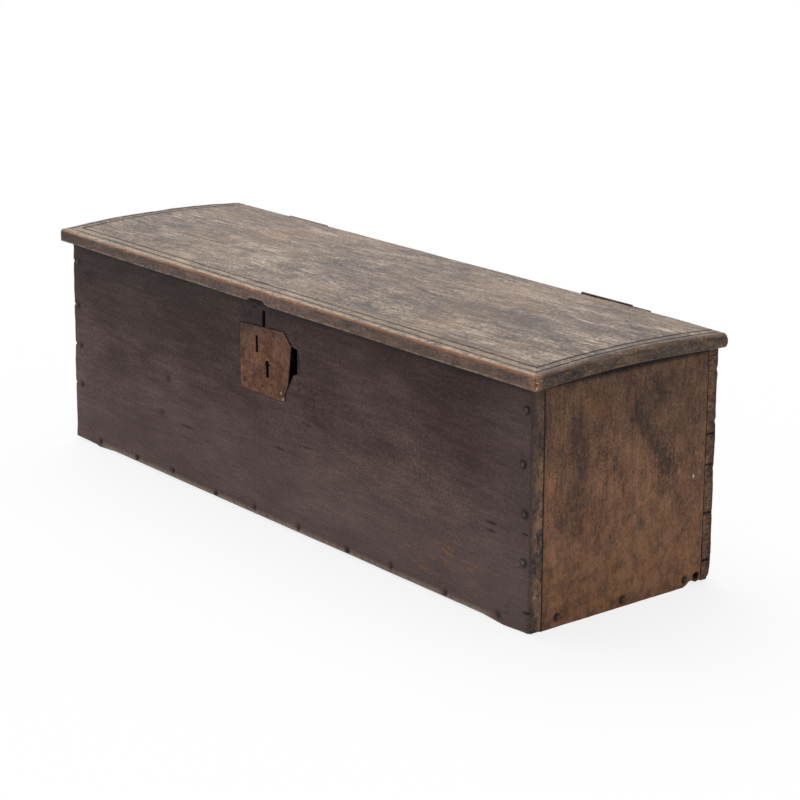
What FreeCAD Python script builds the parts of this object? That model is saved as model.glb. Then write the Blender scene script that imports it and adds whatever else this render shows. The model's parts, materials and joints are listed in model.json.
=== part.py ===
"""A boarded oak chest of six planks: nailed carcass, arched lid on two iron hinges, and a plate lock.

Millimetres. X runs along the front (+X is the right end), Y from the front to the back, Z up from
the floor. The origin is on the floor, midway along the body and midway between its front and back faces.
"""
import FreeCAD, Part
import math
import os
import re
import Sketcher
from FreeCAD import Placement, Rotation, Vector

SIZES = (
    # Carcass
    ("body_length", 1000, "end to end of the front and back boards"),
    ("body_depth", 300, "front face to back face"),
    ("body_height", 300, "floor to the top edge of the boards"),
    ("front_thick", 20, "front board"),
    ("back_thick", 16, "back board"),
    ("end_thick", 20, "end boards"),
    ("bottom_thick", 22, "bottom board"),
    # Wear on the carcass
    ("toe_wear", 6, "bare chamfer worn along the foot of the front"),
    ("toe_margin", 45, "unworn length of that foot at each end"),
    ("heel_lift", 2, "wood lost under the front's left corner"),
    ("heel_spread", 10, "front's left end past the end board, at the foot"),
    ("corner_round", 5, "worn lower right corner of the front"),
    ("nick_depth", 3, "splits broken out of a board's end at its nails"),
    ("nick_height", 6, "height of such a nick"),
    ("chip_length", 30, "broken lower rear corner, along the floor"),
    ("chip_height", 12, "broken lower rear corner, up the board"),
    # Lid
    ("lid_thick", 18, "lid board"),
    ("lid_front_over", 12, "overhang past the front face"),
    ("lid_end_over", 18, "overhang past each end"),
    ("lid_crown", 6, "rise of the cupped board between front and back faces"),
    ("lid_gap", 0.3, "underside above the front and back boards"),
    ("nosing_round", 5, "rounded arris of the front and ends"),
    ("groove_outer", 12, "outer scratched groove, in from the edge"),
    ("groove_inner", 25, "inner scratched groove, in from the edge"),
    ("groove_width", 3, "groove across its mouth"),
    ("groove_depth", 1.6, "groove below the surface"),
    ("hasp_seat_width", 42, "seat of the lost hasp under the front edge"),
    ("hasp_seat_rise", 5, "height of that seat"),
    ("hasp_seat_depth", 34, "seat back from the front edge"),
    # Hinges
    ("hinge_inset", 182, "end of the body to the middle of a hinge"),
    ("hinge_length", 124, "leaves and barrel along the edge"),
    ("leaf_thick", 2.5, "iron of the leaves"),
    ("left_leaf_proud", 0.5, "left lid leaf above the lid's back edge"),
    ("right_leaf_proud", 2, "right lid leaf above the lid's back edge"),
    ("leaf_step", 1.5, "corroded end of a lid leaf, below the rest"),
    ("back_leaf_drop", 45, "back leaf below the joint"),
    ("leaf_corner", 8, "clipped corners of the back leaf"),
    ("pin_radius", 2.5, "hinge pin"),
    ("pin_clearance", 0.06, "radial room of the pin in the knuckles"),
    ("pin_head", 3.8, "radius of the pin's peened ends"),
    ("pin_head_length", 2.4, "peened end past the barrel"),
    ("knuckle_wall", 2.5, "iron round the pin"),
    ("knuckle_gap", 0.5, "room between knuckles and round their leaves"),
    # Lock
    ("key_offset", -14.5, "keyhole from the middle of the chest"),
    ("key_drop", 82, "centre of the key below the boards' top edge"),
    ("key_reach", 18, "centre of the key to the tip of its bit"),
    ("keyhole_radius", 4.5, "round top of the keyhole"),
    ("keyhole_slot", 6, "width of the keyhole's slot"),
    ("plate_left", 61.5, "keyhole to the plate's left edge"),
    ("plate_right", 53, "keyhole to the plate's right edge"),
    ("plate_up", 45, "keyhole to the plate's top left corner"),
    ("plate_rise", 5, "plate's top edge higher at its right"),
    ("plate_down", 43, "keyhole to the plate's bottom edge"),
    ("plate_clip", 16, "plate's torn top right corner"),
    ("plate_bend", 7.5, "plate's right edge drawn in at its bend"),
    ("plate_bend_rise", 25, "that bend above the plate's bottom edge"),
    ("plate_taper", 20.5, "plate's right edge drawn in at the bottom"),
    ("plate_thick", 2, "iron of the plate"),
    ("plate_sink", 1.2, "plate let into the front"),
    ("plate_clearance", 0.3, "room round the plate in its recess"),
    ("plate_nail_inset", 11, "right plate nail above its bottom edge"),
    ("left_nail_rise", 12.5, "left plate nail above its bottom edge"),
    ("plate_nail_side", 8, "left plate nail in from the left edge"),
    ("edge_nail_out", 4, "nail that laps the plate's edge, right of the bottom corner"),
    ("edge_nail_rise", 3.6, "that nail above the plate's bottom edge"),
    ("old_nail_hole", 1.4, "radius of the plate's empty nail holes"),
    ("top_hole_left", 2, "upper empty hole, left of the keyhole"),
    ("top_hole_up", 42, "upper empty hole, above the keyhole"),
    ("low_hole_left", 12, "lower empty hole, left of the keyhole"),
    ("low_hole_down", 32, "lower empty hole, below the keyhole"),
    ("staple_offset", 23, "staple slot, left of the keyhole"),
    ("staple_slot", 5, "width of the staple slot"),
    ("staple_below", 7, "staple slot below the middle of the bolt"),
    ("staple_above", 16, "staple slot above the middle of the bolt"),
    ("hasp_offset", 8, "middle of the lost hasp, left of the keyhole"),
    ("hasp_relief_width", 6, "slot cut in the front for the hasp's tail"),
    ("hasp_relief_height", 24, "that slot above the plate"),
    ("hasp_relief_depth", 5, "that slot into the front"),
    ("bolt_height", 10, "bolt, up"),
    ("bolt_thick", 4, "bolt, front to back"),
    ("bolt_travel", 16, "throw of the bolt"),
    ("bolt_rest", 3.5, "drawn bolt's tip clear of the staple slot"),
    ("bolt_tail", 3, "drawn bolt's tail inside the plate's right edge"),
    ("talon_depth", 5, "notch that the key throws"),
    ("talon_width", 14, "width of that notch"),
    ("works_gap", 0.3, "running room round the bolt"),
    ("keeper_width", 6, "keeper straps along the bolt"),
    ("strap_thick", 1.5, "iron of keepers and bridge"),
    ("keeper_margin", 3, "keeper in from the locked bolt's ends"),
    ("bridge_width", 8, "key bridge across"),
    ("bridge_depth", 10, "key's room between plate and bridge"),
    ("bridge_room", 3, "bridge's feet past the key's sweep and the spring"),
    ("post_radius", 1.5, "key post"),
    ("spring_thick", 1, "leaf spring"),
    ("spring_rise", 6, "spring's foot above the bolt"),
    ("spring_foot", 5, "block that holds the spring"),
    ("spring_reach", 34, "spring from its foot to its tip"),
    ("mortise_room", 2.5, "mortise round the works"),
    ("mortise_end", 20, "mortise past the plate's right edge"),
    # Nails
    ("nail_sides", 6, "facets round the rose head"),
    ("nail_head", 9.6, "across the rose head"),
    ("nail_rise", 2.6, "head above the wood"),
    ("nail_shank", 4, "square shank under the head"),
    ("nail_length", 50, "head to point"),
    ("nail_stray", 2.5, "how far nails set by eye stray from their line"),
    ("tack_head", 7.2, "across the head of a hinge or lock nail"),
    ("tack_rise", 2.4, "that head above the iron"),
    ("tack_shank", 2.6, "its shank"),
    ("tack_length", 13, "its length"),
    ("column_count", 4, "nails down each corner"),
    ("column_foot", 86, "lowest nail of a column above the floor"),
    ("column_head", 31, "highest nail of a column below the top edge"),
    ("row_count", 10, "nails along the foot of the front and back"),
    ("row_margin", 55, "first and last of them from the body's ends"),
    ("end_row_count", 3, "nails along the foot of each end"),
    ("end_row_margin", 45, "first and last of them from the front and back faces"),
)

doc = FreeCAD.newDocument("six_plank_chest")
sheet = doc.addObject("Spreadsheet::Sheet", "sheet")
for row, (name, size, meaning) in enumerate(SIZES, start=1):
    sheet.set(f"A{row}", meaning)
    sheet.set(f"B{row}", str(size))
    sheet.setAlias(f"B{row}", name)
doc.recompute()

# Degrees from one nail of a row to the next: in how it strays, and in how its head is turned
STRAY_TURN = 137
HEAD_TURN = 5

# How close counts as the same place, and how much a cut has to take away
SAME_PLACE = 0.01
LEAST_CUT = 1e-3

# Places that several pieces share, as formulas of the sizes
LEFT = "(-body_length / 2)"
RIGHT = "(body_length / 2)"
FRONT = "(-body_depth / 2)"
BACK = "(body_depth / 2)"
INNER_FRONT = f"({FRONT} + front_thick)"
INNER_BACK = f"({BACK} - back_thick)"
LID_HALF = f"({RIGHT} + lid_end_over)"
LID_FRONT = f"({FRONT} - lid_front_over)"
ARCH = "(body_depth ^ 2 / (8 * lid_crown) + lid_crown / 2)"
UNDER_CENTRE = f"(body_height + lid_gap + lid_crown - {ARCH})"
TOP_CENTRE = f"({UNDER_CENTRE} + lid_thick)"
KNUCKLE = "(pin_radius + knuckle_wall)"
AXIS_Y = f"({BACK} + lid_gap + {KNUCKLE})"
LID_KNUCKLE = "(hinge_length / 6)"
HINGE_MIDDLE = {"left": f"({LEFT} + hinge_inset)", "right": f"({RIGHT} - hinge_inset)"}
PLATE_BACK = f"({FRONT} + plate_sink)"
KEY_Z = "(body_height - key_drop)"
PLATE_RIGHT = "(key_offset + plate_right)"
PLATE_LEFT = "(key_offset - plate_left)"
STAPLE_X = "(key_offset - staple_offset)"
HASP_X = "(key_offset - hasp_offset)"
BOLT_FOOT = f"({KEY_Z} + key_reach + works_gap - talon_depth)"
BOLT_TOP = f"({BOLT_FOOT} + bolt_height)"
BOLT_TIP = f"({STAPLE_X} + staple_slot / 2 + bolt_rest)"
BOLT_END = f"({PLATE_RIGHT} - bolt_tail)"
BRIDGE_FOOT = f"({KEY_Z} - key_reach - bridge_room)"
BRIDGE_TOP = f"({BOLT_TOP} + spring_rise + bridge_room)"


def bind(formula):
    """The formula with each size's name pointed at its cell."""
    return re.sub(r"[a-z]+(?:_[a-z]+)+", lambda found: "sheet." + found.group(), formula)


def value(formula):
    """What the formula comes to now."""
    return float(sheet.evalExpression(bind(formula)))


def new_body(label):
    """An empty body with its label."""
    body = doc.addObject("PartDesign::Body", label)
    body.Label = label
    return body


def new_sketch(body, plane, shift="0"):
    """A sketch on one of the body's planes, moved along that plane's normal."""
    sketch = body.newObject("Sketcher::SketchObject", body.Name + "_sketch")
    support = next(item for item in body.Origin.OriginFeatures if item.Role == plane)
    sketch.AttachmentSupport = [(support, "")]
    sketch.MapMode = "FlatFace"
    sketch.setExpression("AttachmentOffset.Base.z", bind(shift))
    return sketch


def arc_between(start, end, radius):
    """The short arc that turns left from start to end."""
    chord = end - start
    half = chord.Length / 2
    across = Vector(-chord.y, chord.x, 0).normalize()
    centre = start + chord / 2 + across * math.sqrt(radius ** 2 - half ** 2)
    angles = [math.atan2(point.y - centre.y, point.x - centre.x) for point in (start, end)]
    return Part.ArcOfCircle(Part.Circle(centre, Vector(0, 0, 1), radius), *angles)


def outline(sketch, corners, arcs=None):
    """A closed outline through corners, each a pair of formulas, every one held by the sheet.

    arcs gives the radius of the edges that are round, by the number of the corner they leave: plain for
    an edge that swells out of an outline drawn anticlockwise, or with a minus for one that is hollow.
    """
    arcs = arcs or {}
    points = [Vector(value(x), value(y), 0) for x, y in corners]
    first = sketch.GeometryCount
    ends = []
    for number, start in enumerate(points):
        end = points[(number + 1) % len(points)]
        radius = arcs.get(number)
        if radius is None:
            sketch.addGeometry(Part.LineSegment(start, end))
            ends.append((1, 2))
        elif radius.startswith("-"):
            sketch.addGeometry(arc_between(end, start, value(radius[1:])))
            ends.append((2, 1))
        else:
            sketch.addGeometry(arc_between(start, end, value(radius)))
            ends.append((1, 2))
    for number, (x, y) in enumerate(corners):
        edge = first + number
        after = (number + 1) % len(points)
        head, tail = ends[number]
        sketch.addConstraint(Sketcher.Constraint("Coincident", edge, tail, first + after, ends[after][0]))
        for kind, formula, now in (("DistanceX", x, points[number].x), ("DistanceY", y, points[number].y)):
            held = sketch.addConstraint(Sketcher.Constraint(kind, -1, 1, edge, head, now))
            sketch.setExpression(f"Constraints[{held}]", bind(formula))
        if number in arcs:
            radius = arcs[number].lstrip("-")
            held = sketch.addConstraint(Sketcher.Constraint("Radius", edge, value(radius)))
            sketch.setExpression(f"Constraints[{held}]", bind(radius))


def rectangle(sketch, left, bottom, right, top):
    """A closed rectangle between four formulas."""
    outline(sketch, ((left, bottom), (right, bottom), (right, top), (left, top)))


def circle(sketch, x, y, radius):
    """A circle held by the sheet."""
    centre = Vector(value(x), value(y), 0)
    drawn = sketch.addGeometry(Part.Circle(centre, Vector(0, 0, 1), value(radius)))
    to_centre = (-1, 1, drawn, 3)
    for kind, formula, parts in (("DistanceX", x, to_centre), ("DistanceY", y, to_centre),
                                 ("Radius", radius, (drawn,))):
        held = sketch.addConstraint(Sketcher.Constraint(kind, *parts, value(formula)))
        sketch.setExpression(f"Constraints[{held}]", bind(formula))


def extrude(body, kind, sketch, length, symmetric=False, backwards=False):
    """A Pad or a Pocket of the sketch."""
    feature = body.newObject("PartDesign::" + kind, body.Name + "_" + kind.lower())
    feature.Profile = sketch
    feature.setExpression("Length", bind(length))
    feature.SideType = "Symmetric" if symmetric else "One side"
    feature.Reversed = backwards
    sketch.Visibility = False
    doc.recompute()
    return feature


def cut_into(body, sketch, length, symmetric=False, backwards=False):
    """A Pocket that has to take something away."""
    before = body.Shape.Volume
    feature = extrude(body, "Pocket", sketch, length, symmetric, backwards)
    assert body.Shape.Volume < before - LEAST_CUT, feature.Label
    return feature


def turn(body, kind, sketch, angle, second_angle=None):
    """A Revolution or a Groove of the sketch about its own horizontal axis."""
    feature = body.newObject("PartDesign::" + kind, body.Name + "_" + kind.lower())
    feature.Profile = sketch
    feature.ReferenceAxis = (sketch, ["H_Axis"])
    feature.setExpression("Angle", bind(angle))
    if second_angle:
        feature.Type = "TwoAngles"
        feature.setExpression("Angle2", bind(second_angle))
    doc.recompute()
    return feature


def stray(number, phase):
    """How far a nail set by eye lies off its even place, from its number and the phase of its row."""
    return f"nail_stray * sin({STRAY_TURN * number + phase})"


def even(number, count, low, high):
    """The even place of one of a row's nails between two formulas."""
    return f"({low} + ({high} - {low}) * {number} / ({count} - 1))"


def column_height(number):
    """The height of one of the nails down a corner."""
    spot = even(number, "column_count", "column_foot", "(body_height - column_head)")
    return f"{spot} + {stray(number, 40)}"


def ring(sides, radius, height):
    """The corners of a level polygon about the Z axis."""
    corner = Vector(radius, 0, height)
    return [Rotation(Vector(0, 0, 1), 360 * side / sides).multVec(corner) for side in range(sides)]


def faceted(rings):
    """A solid with flat facets from each ring of corners up to the next."""
    faces = [Part.Face(Part.makePolygon(end + end[:1])) for end in (rings[0], rings[-1])]
    for lower, upper in zip(rings, rings[1:]):
        for side in range(len(lower)):
            facet = [lower[side - 1], lower[side], upper[side], upper[side - 1]]
            faces.append(Part.Face(Part.makePolygon(facet + facet[:1])))
    return Part.Solid(Part.Shell(faces))


def nail_solid(size):
    """A forged nail or tack that stands on z = 0: rose head above, square tapering shank below."""
    head, rise, shank, length = (value(f"{size}_{part}") for part in ("head", "rise", "shank", "length"))
    sides = int(value("nail_sides"))
    rose = faceted([ring(sides, head / 2, 0), ring(sides, head / 3, 2 * rise / 3),
                    ring(sides, head / 10, rise)])
    corner = shank / math.sqrt(2)
    spike = faceted([ring(4, corner / 4, -length), ring(4, corner, 0)])
    return rose.fuse(spike)


def nail_group(label, size, places, into):
    """Nails of one size, driven along one direction at each place."""
    pattern = nail_solid(size)
    aim = Rotation(Vector(0, 0, -1), into)
    nails = []
    for number, place in enumerate(places):
        roll = Rotation(Vector(0, 0, 1), 45 + HEAD_TURN * number)
        nail = pattern.copy()
        nail.Placement = Placement(Vector(*[value(formula) for formula in place]), aim * roll)
        nails.append(nail)
    group = doc.addObject("Part::Feature", label)
    group.Label = label
    group.Shape = Part.makeCompound(nails)
    return group


def driven(label, blank, groups):
    """The finished piece: its blank pierced by the nails that pass through it."""
    nails = doc.addObject("Part::Compound", label + "_holes")
    nails.Links = groups
    piece = doc.addObject("Part::Cut", label)
    piece.Label = label
    piece.Base = blank
    piece.Tool = nails
    return piece


def carcass_nails():
    """Every group of nails that holds the six planks, by its label."""
    corners = range(int(value("column_count")))
    foot = range(int(value("row_count")))
    end_foot = range(int(value("end_row_count")))
    groups = {}
    for side, edge, sign in (("left", LEFT, "+"), ("right", RIGHT, "-")):
        for wall, face, into in (("front", FRONT, Vector(0, 1, 0)), ("back", BACK, Vector(0, -1, 0))):
            label = f"{wall}_{side}_nails"
            places = [(f"{edge} {sign} end_thick / 2 + {stray(number, 10)}", face, column_height(number))
                      for number in corners]
            groups[label] = nail_group(label, "nail", places, into)
        label = f"{side}_end_foot_nails"
        span = (f"({FRONT} + end_row_margin)", f"({BACK} - end_row_margin)")
        places = [(edge, even(number, "end_row_count", *span), f"bottom_thick / 2 + {stray(number, 70)}")
                  for number in end_foot]
        groups[label] = nail_group(label, "nail", places, Vector(1 if sign == "+" else -1, 0, 0))
    for wall, face, into in (("front", FRONT, Vector(0, 1, 0)), ("back", BACK, Vector(0, -1, 0))):
        label = f"{wall}_foot_nails"
        span = (f"({LEFT} + row_margin)", f"({RIGHT} - row_margin)")
        places = [(f"{even(number, 'row_count', *span)} + 2 * {stray(number, 20)}", face,
                   f"bottom_thick / 2 + {stray(number, 200)}") for number in foot]
        groups[label] = nail_group(label, "nail", places, into)
    return groups


def plate_corners(room="0"):
    """The lock plate's outline, or its recess with room round it: torn along its right side."""
    left = f"{PLATE_LEFT} - {room}"
    right = f"{PLATE_RIGHT} + {room}"
    bottom = f"{KEY_Z} - plate_down - {room}"
    top = f"{KEY_Z} + plate_up + {room}"
    right_top = f"{top} + plate_rise"
    return ((left, bottom), (f"{right} - plate_taper", bottom),
            (f"{right} - plate_bend", f"{bottom} + plate_bend_rise"), (right, f"{right_top} - plate_clip"),
            (f"{right} - plate_clip", right_top), (left, top))


def board_end_nicks(edge, inward, spread="0"):
    """Corners of the nicks that nails have split out of a board's end, from the top nail down.

    spread is how far the end stands out at the foot, past the edge that it meets at the top.
    """
    corners = []
    for number in reversed(range(int(value("column_count")))):
        for rise, depth in (("nick_height / 2", "0"), ("0", "nick_depth"), ("-nick_height / 2", "0")):
            height = f"({column_height(number)} + {rise})"
            place = f"{edge} {inward} ({depth} - {spread} * (1 - {height} / body_height))"
            corners.append((place, height))
    return corners


def front_board(nails):
    """Front plank: worn foot and corners, the plate's recess, the mortise and the slot of the lost hasp."""
    body = new_body("front_plank")
    sketch = new_sketch(body, "XZ_Plane", "body_depth / 2")
    lifted = f"{LEFT} + toe_margin"
    heel = f"{LEFT} - heel_spread * (1 - heel_lift / body_height)"
    outline(sketch, [(heel, "heel_lift"), (lifted, "heel_lift"), (f"{lifted} + heel_lift", "0"),
                     (f"{RIGHT} - corner_round", "0"), (RIGHT, "corner_round"), (RIGHT, "body_height"),
                     (LEFT, "body_height")] + board_end_nicks(LEFT, "+", "heel_spread"),
            {3: "corner_round"})
    extrude(body, "Pad", sketch, "front_thick", backwards=True)

    worn = new_sketch(body, "YZ_Plane")
    outline(worn, ((f"{FRONT} - toe_wear", "-toe_wear"), (f"{FRONT} + 2 * toe_wear", "-toe_wear"),
                   (f"{FRONT} - toe_wear", "2 * toe_wear")))
    cut_into(body, worn, "body_length - 2 * toe_margin", symmetric=True)

    recess = new_sketch(body, "XZ_Plane", "body_depth / 2")
    outline(recess, plate_corners("plate_clearance"))
    cut_into(body, recess, "plate_sink")

    mortise = new_sketch(body, "XZ_Plane", "body_depth / 2")
    left = f"({STAPLE_X} - staple_slot / 2 - bolt_travel - mortise_room)"
    right = f"({PLATE_RIGHT} + mortise_end)"
    bottom = f"({BRIDGE_FOOT} - mortise_room)"
    top = f"({BRIDGE_TOP} + mortise_room)"
    outline(mortise, ((left, bottom), (f"{PLATE_RIGHT} - plate_bend", bottom),
                      (right, f"{top} - mortise_end"), (right, f"{top} - mortise_room"),
                      (f"{PLATE_RIGHT} - mortise_room", top), (left, top)))
    cut_into(body, mortise, "plate_sink + bridge_depth + strap_thick + mortise_room")

    relief = new_sketch(body, "XZ_Plane", "body_depth / 2")
    foot = f"{KEY_Z} + plate_up"
    rectangle(relief, f"{HASP_X} - hasp_relief_width / 2", foot,
              f"{HASP_X} + hasp_relief_width / 2", f"{foot} + hasp_relief_height")
    cut_into(body, relief, "hasp_relief_depth")
    return driven("front_board", body, nails)


def back_board(nails):
    """Back plank: nicked by its nails at the right end and broken at the right end's foot."""
    body = new_body("back_plank")
    sketch = new_sketch(body, "XZ_Plane", f"-{INNER_BACK}")
    nicks = list(reversed(board_end_nicks(RIGHT, "-")))
    outline(sketch, [(LEFT, "0"), (f"{RIGHT} - chip_height", "0"), (RIGHT, "chip_length")] + nicks
            + [(RIGHT, "body_height"), (LEFT, "body_height")])
    extrude(body, "Pad", sketch, "back_thick", backwards=True)
    return driven("back_board", body, nails)


def end_board(side, nails):
    """An end plank between front and back; the right one has lost its lower rear corner."""
    body = new_body(f"{side}_end_plank")
    sketch = new_sketch(body, "YZ_Plane", LEFT if side == "left" else f"{RIGHT} - end_thick")
    corners = [(INNER_FRONT, "0"), (INNER_BACK, "0"),
               (INNER_BACK, "body_height"), (INNER_FRONT, "body_height")]
    if side == "right":
        corners[1:2] = [(f"{INNER_BACK} - chip_length", "0"),
                        (f"{INNER_BACK} - chip_length / 2", "chip_height / 2"), (INNER_BACK, "chip_height")]
    outline(sketch, corners)
    extrude(body, "Pad", sketch, "end_thick")
    return driven(f"{side}_end_board", body, nails)


def bottom_board(nails):
    """Bottom plank, inside the four walls and flush with their feet."""
    body = new_body("bottom_plank")
    sketch = new_sketch(body, "XY_Plane")
    rectangle(sketch, f"{LEFT} + end_thick", INNER_FRONT, f"{RIGHT} - end_thick", INNER_BACK)
    extrude(body, "Pad", sketch, "bottom_thick")
    return driven("bottom_board", body, nails)


def arch_height(depth, centre):
    """The height of the lid's arch at a place between front and back."""
    return f"({centre} + sqrt({ARCH} ^ 2 - {depth} ^ 2))"


def lid_edges_to_round(shape):
    """The upper front edge and the upper edges of both ends."""
    names = []
    half_way = value("body_height + lid_gap + lid_thick / 2")
    for number, edge in enumerate(shape.Edges, start=1):
        middle = edge.CenterOfMass
        at_front = abs(middle.y - value(LID_FRONT)) < SAME_PLACE and edge.Length > value(LID_HALF)
        at_end = abs(abs(middle.x) - value(LID_HALF)) < SAME_PLACE and edge.Curve.TypeId == "Part::GeomCircle"
        if (at_front or at_end) and middle.z > half_way:
            names.append(f"Edge{number}")
    return names


def lid_board(nails):
    """Lid plank: cupped, with a rounded arris and two scratched grooves round the front and ends."""
    body = new_body("lid_plank")
    sketch = new_sketch(body, "YZ_Plane")
    corners = [(depth, arch_height(depth, centre)) for depth, centre in (
        (LID_FRONT, UNDER_CENTRE), (BACK, UNDER_CENTRE), (BACK, TOP_CENTRE), (LID_FRONT, TOP_CENTRE))]
    outline(sketch, corners, {0: "-" + ARCH, 2: ARCH})
    plank = extrude(body, "Pad", sketch, f"2 * {LID_HALF}", symmetric=True)
    nosing = body.newObject("PartDesign::Fillet", "lid_nosing")
    nosing.Base = (plank, lid_edges_to_round(plank.Shape))
    nosing.setExpression("Radius", bind("nosing_round"))
    doc.recompute()

    for inset in ("groove_outer", "groove_inner"):
        place = f"({LID_FRONT} + {inset})"
        height = arch_height(place, TOP_CENTRE)
        along = new_sketch(body, "YZ_Plane")
        outline(along, ((place, f"{height} - groove_depth"),
                        (f"{place} + groove_width", f"{height} + groove_depth"),
                        (f"{place} - groove_width", f"{height} + groove_depth")))
        cut_into(body, along, f"2 * ({LID_HALF} - {inset}) + groove_width", symmetric=True)

        across = new_sketch(body, "XZ_Plane")
        across.setExpression("AttachmentOffset.Base.y", bind(TOP_CENTRE))
        for end in ("-", ""):
            middle = f"{end}({LID_HALF} - {inset})"
            outline(across, ((middle, f"{ARCH} - groove_depth"),
                             (f"{middle} + groove_width", f"{ARCH} + groove_depth"),
                             (f"{middle} - groove_width", f"{ARCH} + groove_depth")))
        before = body.Shape.Volume
        turn(body, "Groove", across, f"asin(({BACK} + lid_front_over - {inset} + groove_width / 2) / {ARCH})",
             f"asin(({BACK} + groove_width) / {ARCH})")
        assert body.Shape.Volume < before - LEAST_CUT

    seat = new_sketch(body, "XZ_Plane", f"-{LID_FRONT}")
    level = arch_height(LID_FRONT, UNDER_CENTRE)
    outline(seat, ((f"{HASP_X} - hasp_seat_width / 2", f"{level} - hasp_seat_rise"),
                   (f"{HASP_X} + hasp_seat_width / 2", f"{level} - hasp_seat_rise"),
                   (f"{HASP_X} + hasp_seat_width / 2", level),
                   (f"{HASP_X} + hasp_seat_width / 2 - hasp_seat_rise", f"{level} + hasp_seat_rise"),
                   (f"{HASP_X} - hasp_seat_width / 2 + hasp_seat_rise", f"{level} + hasp_seat_rise"),
                   (f"{HASP_X} - hasp_seat_width / 2", level)))
    cut_into(body, seat, "hasp_seat_depth")
    return driven("lid_board", body, nails)


def place_hinge(body, side):
    """Moves a hinge piece from the middle of the chest to its own side."""
    body.setExpression("Placement.Base.x", bind(HINGE_MIDDLE[side]))


def bore_knuckles(body):
    """The hole for the pin through a leaf's knuckles."""
    bore = new_sketch(body, "YZ_Plane")
    circle(bore, AXIS_Y, "body_height", "pin_radius + pin_clearance")
    cut_into(body, bore, "2 * hinge_length", symmetric=True)


def lid_leaf(side, nails):
    """Leaf on the lid's back edge: stands proud of it, and rolls into the middle knuckle."""
    body = new_body(f"{side}_lid_leaf_blank")
    place_hinge(body, side)
    half = "hinge_length / 2"
    tab = f"({LID_KNUCKLE} - knuckle_gap / 2)"
    shoulder = f"body_height + {KNUCKLE} + knuckle_gap"
    top = f"(body_height + lid_gap + lid_thick + {side}_leaf_proud)"
    plate = new_sketch(body, "XZ_Plane", f"-{BACK}")
    outline(plate, ((f"-{half}", shoulder), (f"-{tab}", shoulder), (f"-{tab}", "body_height"),
                    (tab, "body_height"), (tab, shoulder), (half, shoulder), (half, f"{top} - leaf_step"),
                    (f"{half} / 2", f"{top} - leaf_step"), (f"{half} / 2 - leaf_step", top),
                    (f"-{half}", top)))
    extrude(body, "Pad", plate, "leaf_thick", backwards=True)
    roll = new_sketch(body, "YZ_Plane")
    circle(roll, AXIS_Y, "body_height", KNUCKLE)
    extrude(body, "Pad", roll, f"2 * {tab}", symmetric=True)
    bore_knuckles(body)
    return driven(f"{side}_hinge_lid_leaf", body, [nails])


def back_leaf(side, nails):
    """Leaf on the back board: rolls into the two outer knuckles."""
    body = new_body(f"{side}_back_leaf_blank")
    place_hinge(body, side)
    half = "hinge_length / 2"
    foot = "(body_height - back_leaf_drop)"
    plate = new_sketch(body, "XZ_Plane", f"-{BACK}")
    clipped = f"{foot} + leaf_corner"
    outline(plate, ((f"-{half} + leaf_corner", foot), (f"{half} - leaf_corner", foot), (half, clipped),
                    (half, "body_height"), (f"-{half}", "body_height"), (f"-{half}", clipped)))
    extrude(body, "Pad", plate, "leaf_thick", backwards=True)
    roll = new_sketch(body, "YZ_Plane")
    circle(roll, AXIS_Y, "body_height", KNUCKLE)
    extrude(body, "Pad", roll, "hinge_length", symmetric=True)
    gap = new_sketch(body, "YZ_Plane")
    rectangle(gap, f"{BACK} - leaf_thick", f"body_height - {KNUCKLE} - knuckle_gap",
              f"{AXIS_Y} + {KNUCKLE} + leaf_thick", f"body_height + {KNUCKLE} + knuckle_gap")
    cut_into(body, gap, f"2 * {LID_KNUCKLE} + knuckle_gap", symmetric=True)
    bore_knuckles(body)
    return driven(f"{side}_hinge_back_leaf", body, [nails])


def hinge_pin(side):
    """Pin through the knuckles, peened over at both ends."""
    body = new_body(f"{side}_hinge_pin")
    place_hinge(body, side)
    body.setExpression("Placement.Base.y", bind(AXIS_Y))
    body.setExpression("Placement.Base.z", bind("body_height"))
    half = "(hinge_length / 2 + pin_clearance)"
    end = f"({half} + pin_head_length)"
    swell = f"({end} - pin_head_length / 2)"
    profile = new_sketch(body, "XY_Plane")
    outline(profile, ((f"-{end}", "0"), (end, "0"), (end, "pin_radius"), (swell, "pin_head"),
                      (half, "pin_head"), (half, "pin_radius"), (f"-{half}", "pin_radius"),
                      (f"-{half}", "pin_head"), (f"-{swell}", "pin_head"), (f"-{end}", "pin_radius")))
    turn(body, "Revolution", profile, "360")
    return body


def hinge(side):
    """One hinge: leaves, pin and the nails of each leaf. Returns its pieces and both groups of nails."""
    middle = HINGE_MIDDLE[side]
    face = f"({BACK} + leaf_thick)"
    into = Vector(0, -1, 0)
    spread = "hinge_length * 3 / 8"
    lid_row = f"body_height + lid_gap + ({KNUCKLE} + knuckle_gap + lid_thick) / 2"
    lid_places = [(f"{middle} + {place}", face, lid_row) for place in (f"-{spread}", "0", spread)]
    lid_nails = nail_group(f"{side}_hinge_lid_nails", "tack", lid_places, into)
    upper_row = f"body_height - ({KNUCKLE} + back_leaf_drop - leaf_corner) / 2"
    lower_row = "body_height - back_leaf_drop + leaf_corner"
    back_places = [(f"{middle} + {place}", face, row)
                   for place in (f"-{spread}", spread) for row in (upper_row, lower_row)]
    back_nails = nail_group(f"{side}_hinge_back_nails", "tack", back_places, into)
    pieces = [lid_leaf(side, lid_nails), back_leaf(side, back_nails), hinge_pin(side), lid_nails, back_nails]
    return pieces, lid_nails, back_nails


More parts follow.
